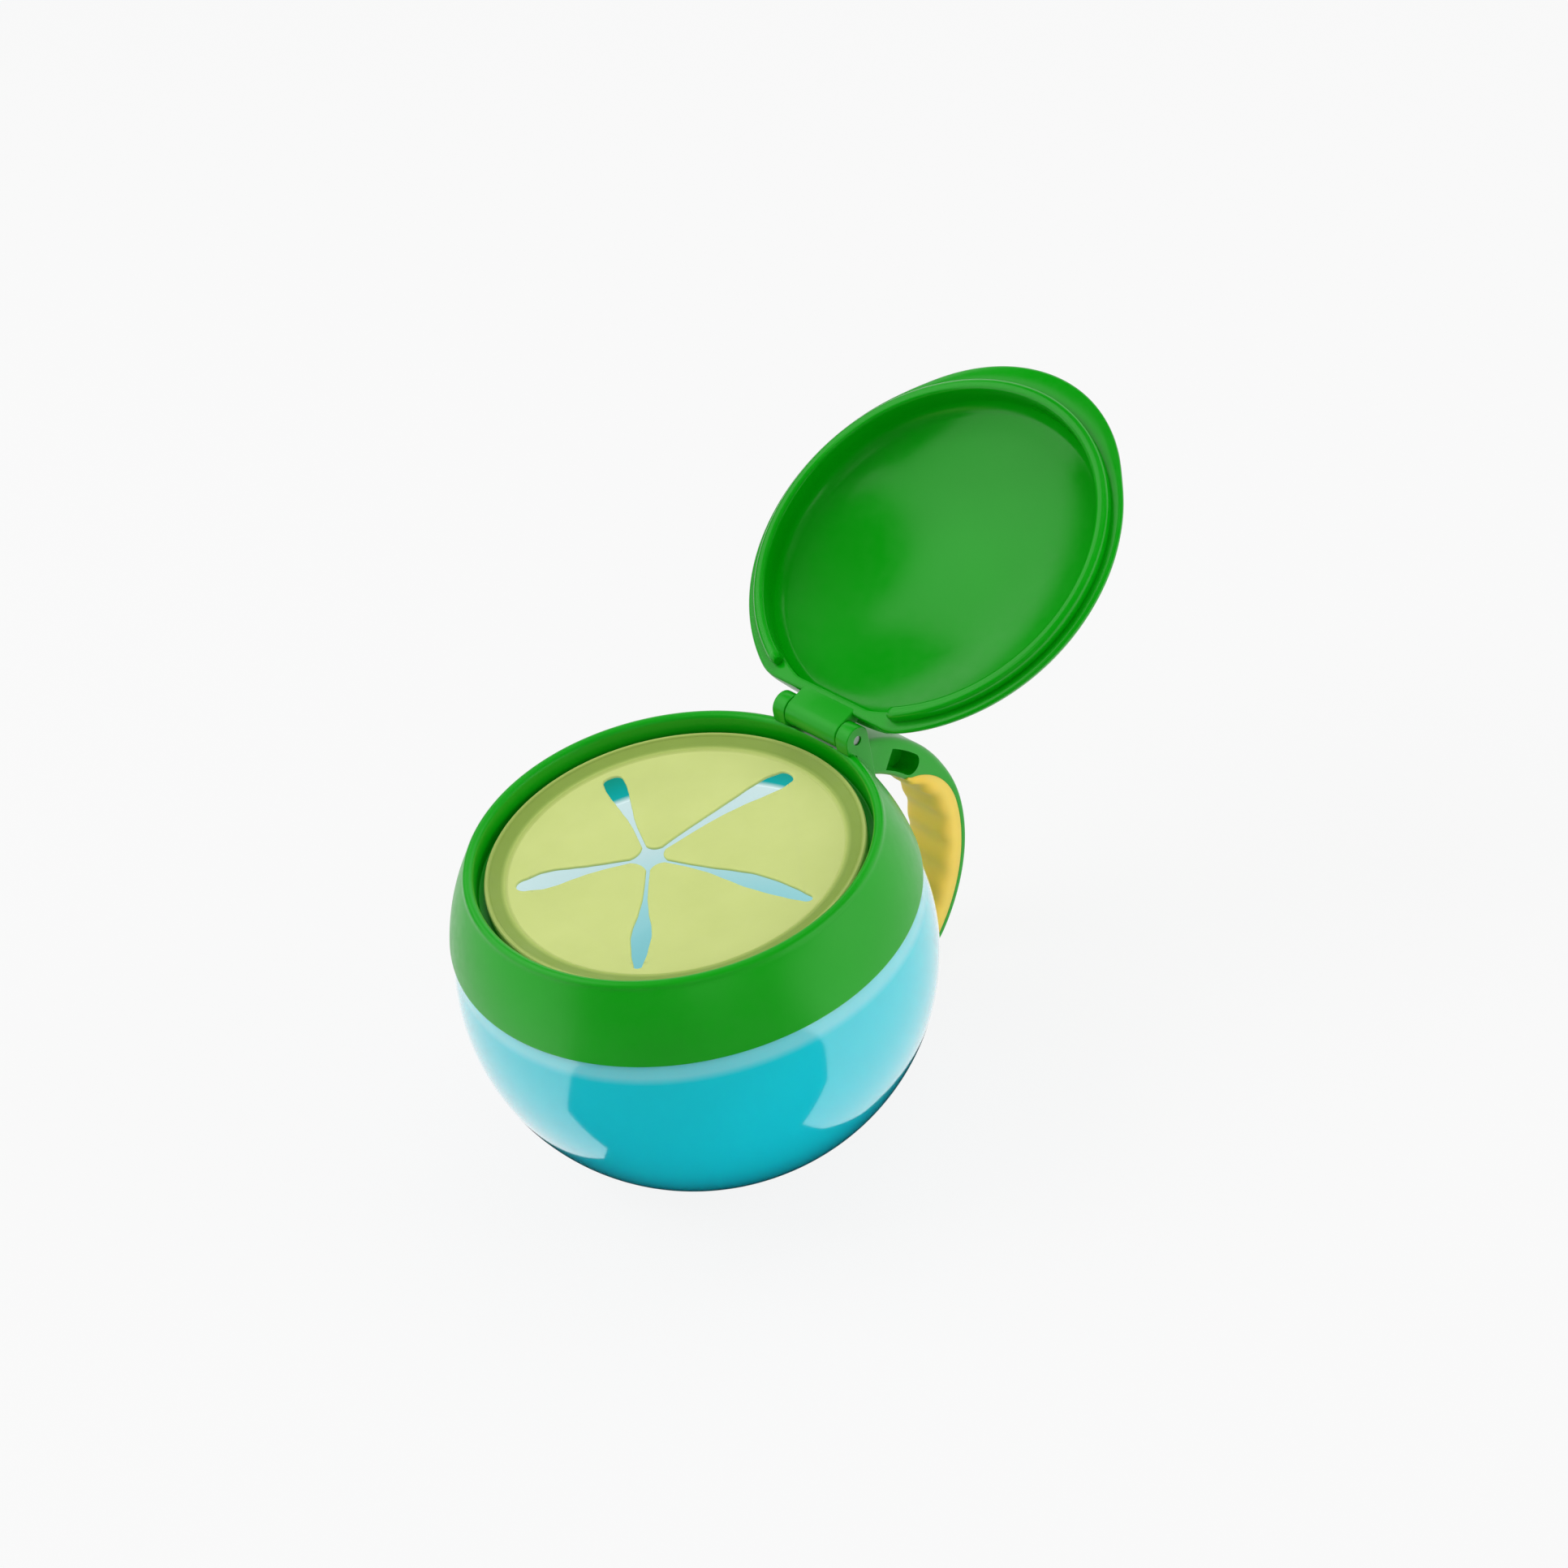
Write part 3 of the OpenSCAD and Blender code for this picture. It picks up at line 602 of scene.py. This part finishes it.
# ------------------------------------------------------------------ lid
def opened(v):
    m = (Matrix.Translation((0, PIN_Y, PIN_Z)) @ Matrix.Rotation(rad(-OPEN), 4, "X")
         @ Matrix.Translation((0, -PIN_Y, -PIN_Z)))
    return [tuple(m @ Vector(p)) for p in v]


def dome(r, inset=0.0):
    if r < 31.33 * (DOME_TOP_R - inset) / DOME_TOP_R:
        return 2 + math.sqrt((DOME_TOP_R - inset) ** 2 - r * r)
    return 57.2 + math.sqrt(max(0, (DOME_SIDE_R - inset) ** 2 - (r - 23.5) ** 2))


def plan_r(t):
    """Outline of the lid's flange in direction t."""
    c, s = math.cos(t), math.sin(t)
    p = LID_R
    if s > 0:
        cx = abs(c)
        if s * LID_R > 34:
            if abs(math.degrees(math.atan2(s, cx)) - 90) < math.degrees(math.atan2(14.8, 37.0)):
                p = CHORD_Y / s
            elif math.degrees(math.atan2(s, cx)) > 61.3:
                b = 14.8 * cx + 27 * s
                p = b + math.sqrt(max(0, b * b - (14.8 ** 2 + 27 ** 2 - 100)))
    return min(p, LID_R)


def brim_out(t):
    s = math.sin(t)
    return -8.3 * s + math.sqrt(68.9 * s * s + 1177.2)


def lid_pieces():
    n = 360
    rings = []
    for i in range(n):
        t = 2 * math.pi * i / n
        c, s = math.cos(t), math.sin(t)
        p = plan_r(t)
        b = brim_out(t) - p
        extra = max(0.0, b) if s < 0 else 0.0
        if s < 0:
            extra = (b + math.sqrt(b * b + 0.6)) / 2 * ease((-s - 0.35) / 0.25)
        prof = []
        for k in range(1, 19):
            r = (p - 0.25) * math.sin(math.pi / 2 * k / 18) ** 0.8
            prof.append((r, dome(r)))
        zt = dome(p - 0.25)
        q = p + extra
        e = min(1.0, extra / 0.8)
        top = zt + (68.1 - zt) * e
        prof[-1] = (prof[-1][0] - 0.25 * e, prof[-1][1] + 0.2 * e)
        prof += [(p - 0.13 + extra * 0.4, top - 0.1), (q - 0.05 - 0.2 * e, top - 0.25), (q, top - 0.55),
                 (q, LID_Z + 0.5 + 0.15 * e),
                 (q - 0.12, LID_Z + 0.2 + 0.25 * e), (q - 0.5, LID_Z + 0.3 * e), (p - 0.9, LID_Z)]
        h = RING_IN if s <= 0 or RING_IN * s < HOLLOW_Y else HOLLOW_Y / s
        prof += [(h + 1.2, LID_Z), (h + 0.35, LID_Z), (h + 0.08, LID_Z + 0.12), (h, LID_Z + 0.45)]
        zi = dome(h, LID_WALL)
        prof += [(h, LID_Z + 0.9), (h, zi - 1.6), (h - 0.12, zi - 0.9), (h - 0.5, zi - 0.25),
                 (h - 1.1, dome(h - 1.1, LID_WALL) - 0.05)]
        for k in range(18, 0, -1):
            r = (h - 1.7) * math.sin(math.pi / 2 * k / 18) ** 0.8
            prof.append((r, dome(r, LID_WALL)))
        rings.append([(r * c, r * s, z) for r, z in prof])
    m = len(rings[0])
    v = [p for r in rings for p in r]
    f = []
    for i in range(n):
        k = (i + 1) % n
        for j in range(m - 1):
            f.append((i * m + j, k * m + j, k * m + j + 1, i * m + j + 1))
    top, bottom = len(v), len(v) + 1
    v += [(0, 0, dome(0)), (0, 0, dome(0, LID_WALL))]
    for i in range(n):
        k = (i + 1) % n
        f.append((top, k * m, i * m))
        f.append((bottom, i * m + m - 1, k * m + m - 1))
    make("lid_shell", opened(v), f, "lid", GREEN_GLOSS, ["lid"], 55)

    # the sealing ring stops short at the hinge, with rounded ends
    a0, a1, steps = 114.5, 425.5, 260
    rings = []
    for i in range(steps + 1):
        a = a0 + (a1 - a0) * i / steps
        u = min(a - a0, a1 - a) * math.pi / 180 * 37.4
        end = math.sqrt(max(0.0, 1 - (1 - min(1, u / 1.1)) ** 2))
        end = max(end, 0.25)
        mid, half = (RING_IN + RING_OUT) / 2, (RING_OUT - RING_IN) / 2 * (0.55 + 0.45 * end)
        low = RING_TIP + 0.7 * (1 - end)
        sec = [(mid - half, LID_Z + 0.8), (mid - half, low + 0.9), (mid - half * 0.9, low + 0.42),
               (mid - half * 0.6, low + 0.12), (mid - half * 0.2, low), (mid + half * 0.2, low),
               (mid + half * 0.6, low + 0.12), (mid + half * 0.9, low + 0.42), (mid + half, low + 0.9),
               (mid + half, LID_Z + 0.8)]
        rings.append([(r * math.cos(rad(a)), r * math.sin(rad(a)), z) for r, z in sec])
    v, f = sweep(rings)
    make("lid_seal_ring", opened(v), f, "lid", GREEN_GLOSS, (), 50)

    # knuckle, with the plate that joins it to the straight edge
    pts = [(PIN_Y + KNUCKLE_R * math.cos(rad(a)), PIN_Z + KNUCKLE_R * math.sin(rad(a)))
           for a in range(-104, 131, 6)]
    loop = pts + [(38.2, 69.2), (36.2, 69.2), (35.7, LID_Z + 0.05), (36.0, LID_Z - 0.03)]
    half = KNUCKLE_L / 2
    ob = prism("lid_knuckle", loop, -half, half, opened)
    round_edges(ob, 0.4, 3, 60)
    cut_away(ob, pin_rod(-half - 2, half + 2, 1.05))
    finish_piece(ob, "lid", GREEN, (), 35)


lid_pieces()

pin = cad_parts["hinge_pin"]
pin.data.materials.clear()
pin.data.materials.append(STEEL)


# ------------------------------------------------------------------ insert
# each slit: its half-width in mm at distances from the star, and how far its middle line bows sideways
SLITS = [
    ([(0, .4), (8, .45), (13, .75), (18, 1.5), (22, 2.05), (27, 2.0), (32, 1.55), (35, 1.0)], 1.0),
    ([(0, .4), (8, .8), (13, .95), (17, 1.15), (22, 1.6), (26.5, 2.25), (30.5, 2.6), (33, 2.1)], 1.0),
    ([(0, .4), (10, .4), (13, .6), (16, 1.05), (19, 1.45), (21.5, 1.85), (24.2, 2.1), (26.5, 2.0)], 0.0),
    ([(0, .4), (8, .85), (12, 1.25), (15, 1.8), (18.5, 2.5), (21, 2.6), (24, 1.85)], -0.5),
    ([(0, .4), (8, .35), (12, .45), (16.3, .95), (20.6, 1.8), (23, 2.0), (28, 1.5), (31.5, .75)], 0.0),
]
STAR_ROUND = 0.66       # how far the flaps' inner corners are drawn back from the middle of the star
CUT_IN = 3.7            # from the middle of the star to where the slits' edges begin


def slit_tip(i):
    a = rad(SLIT_ANGLES[i % 5])
    return REACH * Vector((math.cos(a), math.sin(a)))


def half_at(i, d):
    pts = SLITS[i][0]
    for (d0, w0), (d1, w1) in zip(pts, pts[1:]):
        if d <= d1:
            u = (d - d0) / (d1 - d0)
            return w0 + (w1 - w0) * (u * 0.5 + ease(u) * 0.5)
    return pts[-1][1]


def slit_edges(i):
    """Left and right edges of slit i from the star outwards, and the round cap at its tip."""
    i %= 5
    tip = slit_tip(i)
    axis = tip - STAR
    length = axis.length
    u = axis.normalized()
    nrm = Vector((-u.y, u.x))
    last = SLITS[i][0][-1][0]
    bow = SLITS[i][1]
    left, right, cap = [], [], []
    steps = 34
    for k in range(steps + 1):
        d = CUT_IN + (last - CUT_IN) * k / steps
        mid = STAR + u * d + nrm * bow * math.sin(math.pi * d / length)
        h = half_at(i, d)
        left.append(mid + nrm * h)
        right.append(mid - nrm * h)
    h = half_at(i, last)
    mid = STAR + u * last + nrm * bow * math.sin(math.pi * last / length)
    for k in range(1, 12):
        t = math.pi / 2 - math.pi * k / 12
        cap.append(mid + u * (length - last) * math.cos(t) + nrm * h * math.sin(t))
    return left, right, cap


EDGES = [slit_edges(i) for i in range(5)]
FOLD = 33               # index along a slit's edge where the fold line starts
SLIVER = 2e-3           # twice the area, in square mm, under which a triangle on a straight seam is left out


def inside(p, loop):
    hit = False
    j = len(loop) - 1
    for i in range(len(loop)):
        a, b = loop[i], loop[j]
        if (a[1] > p[1]) != (b[1] > p[1]) and p[0] < (b[0] - a[0]) * (p[1] - a[1]) / (b[1] - a[1]) + a[0]:
            hit = not hit
        j = i
    return hit


def clearance(p, loop):
    best = 1e9
    for i in range(len(loop)):
        a, b = Vector(loop[i - 1]), Vector(loop[i])
        d = b - a
        t = max(0, min(1, (Vector(p) - a).dot(d) / max(d.length_squared, 1e-12)))
        best = min(best, (a + d * t - Vector(p)).length)
    return best


def sheet_piece(name, loops, free, body, z0, z1, grid, bevel=0.28):
    """A flat soft sheet: loops of (x, y), the first one outside. free says which edges are rounded."""
    pts = [Vector(p) for lp in loops for p in lp]
    edges, base = [], 0
    for lp in loops:
        m = len(lp)
        edges += [(base + k, base + (k + 1) % m) for k in range(m)]
        base += m
    xs = [p[0] for p in loops[0]]
    ys = [p[1] for p in loops[0]]
    y = min(ys)
    row = 0
    while y < max(ys):
        x = min(xs) + (grid / 2 if row % 2 else 0)
        while x < max(xs):
            p = (x, y)
            if inside(p, loops[0]) and not any(inside(p, lp) for lp in loops[1:]) \
                    and min(clearance(p, lp) for lp in loops) > grid * 0.45:
                pts.append(Vector(p))
            x += grid
        y += grid * 0.87
        row += 1
    vs, _, fs = delaunay_2d_cdt(pts, edges, [], 0, 1e-5)[:3]
    tris = []
    for t in fs:
        c = sum((vs[k] for k in t), Vector((0, 0))) / 3
        if abs((vs[t[1]] - vs[t[0]]).cross(vs[t[2]] - vs[t[0]])) < SLIVER:
            continue
        if inside(c, loops[0]) and not any(inside(c, lp) for lp in loops[1:]):
            tris.append(tuple(t))
    n = len(vs)
    verts = [(p.x, p.y, z1) for p in vs] + [(p.x, p.y, z0) for p in vs]
    faces = [t for t in tris] + [tuple(reversed([k + n for k in t])) for t in tris]
    count = {}
    for t in tris:
        for a, b in ((t[0], t[1]), (t[1], t[2]), (t[2], t[0])):
            count[frozenset((a, b))] = count.get(frozenset((a, b)), []) + [(a, b)]
    border = [e[0] for e in count.values() if len(e) == 1]
    faces += [(a, a + n, b + n, b) for a, b in border]
    me = bpy.data.meshes.new(name)
    me.from_pydata([tuple(c * MM for c in p) for p in verts], [], faces)
    bm = bmesh.new()
    bm.from_mesh(me)
    loose = [v for v in bm.verts if not v.link_faces]
    bmesh.ops.delete(bm, geom=loose, context="VERTS")
    bmesh.ops.recalc_face_normals(bm, faces=bm.faces)
    weight = bm.edges.layers.float.new("bevel_weight_edge")
    for e in bm.edges:
        if len(e.link_faces) == 2 and e.calc_face_angle(0) > rad(60):
            a, b = e.verts[0].co / MM, e.verts[1].co / MM
            if abs(a.z - b.z) < 1e-3 and free(((a.x + b.x) / 2, (a.y + b.y) / 2)):
                e[weight] = 1.0
    bm.to_mesh(me)
    bm.free()
    ob = bpy.data.objects.new(name, me)
    bpy.context.scene.collection.objects.link(ob)
    mod = ob.modifiers.new("bevel", "BEVEL")
    mod.width, mod.segments, mod.limit_method = bevel * MM, 3, "WEIGHT"
    bake_modifiers(ob)
    finish_piece(ob, body, SOFT, (), 50)
    return ob


def insert_pieces():
    folds = []
    for i in range(5):
        a = EDGES[i][0][FOLD]
        b = EDGES[(i + 1) % 5][1][FOLD]
        folds.append((a, b))

    def on_fold(p):
        p = Vector(p)
        for a, b in folds:
            d = b - a
            t = (p - a).dot(d) / d.length_squared
            if -0.01 < t < 1.01 and (a + d * t - p).length < 0.02:
                return True
        return False

    # flaps
    for i in range(5):
        left, right = EDGES[i][0], EDGES[(i + 1) % 5][1]
        loop = [left[k] for k in range(0, FOLD + 1)]
        a, b = left[FOLD], right[FOLD]
        loop += [a + (b - a) * k / 24 for k in range(1, 24)]
        loop += [right[k] for k in range(FOLD, -1, -1)]
        p, q = right[0], left[0]
        ctrl = STAR + ((p + q) / 2 - STAR) * STAR_ROUND
        loop += [p * (1 - t) ** 2 + ctrl * 2 * t * (1 - t) + q * t * t for t in [k / 10 for k in range(1, 10)]]
        ob = sheet_piece("flap_%d_skin" % (i + 1), [[tuple(v) for v in loop]], lambda c: not on_fold(c), None,
                         DISC_Z - SHEET, DISC_Z, 1.5)
        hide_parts("flap_%d" % (i + 1))
        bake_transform(ob)
    # the disc around them
    inner = []
    for i in range(5):
        left, right, cap = EDGES[i]
        nxt = EDGES[(i + 1) % 5]
        inner += [right[k] for k in range(FOLD, len(right))]
        inner += list(reversed(cap))
        inner += [left[k] for k in range(len(left) - 1, FOLD - 1, -1)]
        a, b = left[FOLD], nxt[1][FOLD]
        inner += [a + (b - a) * k / 24 for k in range(1, 24)]
    outer = [(DISC_R * math.cos(2 * math.pi * k / 240), DISC_R * math.sin(2 * math.pi * k / 240))
             for k in range(240)]
    sheet_piece("insert_disc", [outer, [tuple(v) for v in inner]],
                lambda c: not on_fold(c) and math.hypot(c[0], c[1]) < 32.5, "insert",
                DISC_Z - SHEET, DISC_Z, 1.5)
    # the rim: a sloping band with a bead at each side, and a short plain skirt inside the bowl's neck
    prof = [(SKIRT_IN, 59.0, 0.2), (SKIRT_OUT, 59.0, 0.2), (SKIRT_OUT, 60.6, 0.3), (36.9, 60.6, 0.2),
            (INSERT_R, 60.95, 0.2), (INSERT_R, 62.85, 0.3), (36.95, RIM_TOP, 0.25), (36.35, 63.18, 0.3),
            (36.1, 62.86, 0.3), (34.6, 62.28, 0.6), (33.75, 62.08, 0.2), (33.35, 62.12, 0.2),
            (33.05, 61.84, 0.15), (32.75, 61.66, 0.1), (32.75, 60.9, 0.1), (33.0, 60.7, 0.1),
            (SKIRT_IN, 60.65, 0.1)]
    v, f = revolve(fillet(prof, 3), 300)
    make("insert_rim", v, f, "insert", SOFT, ["flap_ring"], 50)


insert_pieces()


# ------------------------------------------------------------------ floor, backdrop, camera, light
def plane(name, size, z, mat):
    me = bpy.data.meshes.new(name)
    s = size / 2
    me.from_pydata([(-s, -s, z), (s, -s, z), (s, s, z), (-s, s, z)], [], [(0, 1, 2, 3)])
    me.materials.append(mat)
    ob = bpy.data.objects.new(name, me)
    bpy.context.scene.collection.objects.link(ob)
    return ob


BACKDROP = srgb(248, 248, 248)
FLOOR_WHITE = 0.94      # share of the floor's look that is plain white; the rest takes the object's shadow
AMBIENT = 0.42


def seen_directly(nt):
    """1 for camera, glossy and transmission rays, and 0 for the rest."""
    path = nt.nodes.new("ShaderNodeLightPath")
    value = path.outputs["Is Camera Ray"]
    for kind in ("Is Glossy Ray", "Is Transmission Ray"):
        most = nt.nodes.new("ShaderNodeMath")
        most.operation = "MAXIMUM"
        nt.links.new(value, most.inputs[0])
        nt.links.new(path.outputs[kind], most.inputs[1])
        value = most.outputs[0]
    return value


def mixed(nt, share, first, second):
    """A mix of two shaders; share is a number or a socket."""
    mix = nt.nodes.new("ShaderNodeMixShader")
    if isinstance(share, float):
        mix.inputs[0].default_value = share
    else:
        nt.links.new(share, mix.inputs[0])
    nt.links.new(first, mix.inputs[1])
    nt.links.new(second, mix.inputs[2])
    return mix.outputs[0]


def floor_material():
    m = bpy.data.materials.new("floor_white")
    m.use_nodes = True
    nt = m.node_tree
    nt.nodes.clear()
    white = nt.nodes.new("ShaderNodeEmission")
    white.inputs["Color"].default_value = BACKDROP
    white.inputs["Strength"].default_value = 1.0
    dif = nt.nodes.new("ShaderNodeBsdfDiffuse")
    dif.inputs["Color"].default_value = (0.9, 0.9, 0.9, 1)
    seen = mixed(nt, FLOOR_WHITE, dif.outputs[0], white.outputs[0])
    out = nt.nodes.new("ShaderNodeOutputMaterial")
    nt.links.new(mixed(nt, seen_directly(nt), dif.outputs[0], seen), out.inputs[0])
    return m


plane("floor", 6.0, 0.0, floor_material())

world = bpy.data.worlds.new("studio")
bpy.context.scene.world = world
world.use_nodes = True
wn = world.node_tree
wn.nodes.clear()
wsee = wn.nodes.new("ShaderNodeBackground")
wsee.inputs["Color"].default_value = BACKDROP
wlit = wn.nodes.new("ShaderNodeBackground")
wlit.inputs["Color"].default_value = (1, 1, 1, 1)
wlit.inputs["Strength"].default_value = AMBIENT
wout = wn.nodes.new("ShaderNodeOutputWorld")
wn.links.new(mixed(wn, seen_directly(wn), wlit.outputs[0], wsee.outputs[0]), wout.inputs[0])

cam_data = bpy.data.cameras.new("camera")
cam = bpy.data.objects.new("camera", cam_data)
bpy.context.scene.collection.objects.link(cam)
cam_data.sensor_fit = "HORIZONTAL"
cam_data.sensor_width = 36
cam_data.lens = 74.53
cam_data.clip_start = 0.01
F = Vector((-0.62788, 0.47901, -0.61345)).normalized()
R = Vector((0.69016, 0.70701, -0.15434)).normalized()
U = R.cross(F)
cam.matrix_world = Matrix((
    (R.x, U.x, -F.x, 0.40003),
    (R.y, U.y, -F.y, -0.27606),
    (R.z, U.z, -F.z, 0.45135),
    (0, 0, 0, 1)))
bpy.context.scene.camera = cam


def lamp(name, pos, target, size, power):
    d = bpy.data.lights.new(name, "AREA")
    d.shape = "RECTANGLE"
    d.size, d.size_y = size
    d.energy = power
    ob = bpy.data.objects.new(name, d)
    ob.location = pos
    ob.rotation_euler = (Vector(target) - Vector(pos)).to_track_quat("-Z", "Y").to_euler()
    ob.visible_glossy = False
    bpy.context.scene.collection.objects.link(ob)
    return ob


MIDDLE = (0, 0, 0.06)
lamp("key_left", (-0.64, -0.50, 0.95), MIDDLE, (0.75, 0.75), 8.6)
lamp("fill_right", (0.95, 0.72, 0.42), MIDDLE, (0.6, 0.7), 6.0)
lamp("front_right", (0.9, -0.55, 0.5), MIDDLE, (0.5, 0.5), 3.0)
lamp("top", (-0.1, 0.45, 1.15), MIDDLE, (0.8, 0.8), 5.0)


# black cards about the studio, which only reflections show
def dark_card(name, verts, faces):
    me = bpy.data.meshes.new(name)
    me.from_pydata(verts, [], faces)
    me.materials.append(CARD)
    ob = bpy.data.objects.new(name, me)
    bpy.context.scene.collection.objects.link(ob)
    ob.visible_camera = ob.visible_diffuse = ob.visible_shadow = ob.visible_transmission = False


CARD = bpy.data.materials.new("card_black")
CARD.use_nodes = True
CARD.node_tree.nodes["Principled BSDF"].inputs["Base Color"].default_value = (0.01, 0.01, 0.01, 1)
CARD.node_tree.nodes["Principled BSDF"].inputs["Roughness"].default_value = 1.0
under = [(0.044 * math.cos(rad(a)), 0.044 * math.sin(rad(a))) for a in range(10, 256, 10)]
floor_loop = under + [(0.006, -0.050), (0.010, -0.058), (-0.006, -0.085), (-0.012, -0.181), (-0.06, -1.2),
                      (0.85, -0.85), (1.2, 0.04), (0.148, 0.010), (0.086, -0.001), (0.058, -0.014), (0.050, -0.006)]
dark_card("card_floor", [(x, y, 0.0004) for x, y in floor_loop], [tuple(range(len(floor_loop)))])


def card_sector(name, a0, a1, e0, e1, r=1.2):
    """A piece of a sphere about the object, between two directions and two heights in degrees."""
    n = 12
    vs = []
    for i in range(n + 1):
        for k in range(n + 1):
            a, e = rad(a0 + (a1 - a0) * i / n), rad(e0 + (e1 - e0) * k / n)
            vs.append((r * math.cos(e) * math.cos(a), r * math.cos(e) * math.sin(a), r * math.sin(e)))
    fs = [(i * (n + 1) + k, (i + 1) * (n + 1) + k, (i + 1) * (n + 1) + k + 1, i * (n + 1) + k + 1)
          for i in range(n) for k in range(n)]
    dark_card(name, vs, fs)


card_sector("card_front", -96, 2, 0, 60)
card_sector("card_right", 2, 66, 20, 60)
card_sector("card_high", -60, 160, 60, 90, 1.3)
card_sector("card_over", -180, 180, 68, 90, 1.25)
card_sector("card_left_high", 66, 166, 40, 60)
card_sector("card_back_low", 150, 205, 4, 26)

bpy.context.scene.view_settings.view_transform = "Standard"

bpy.context.view_layer.update()
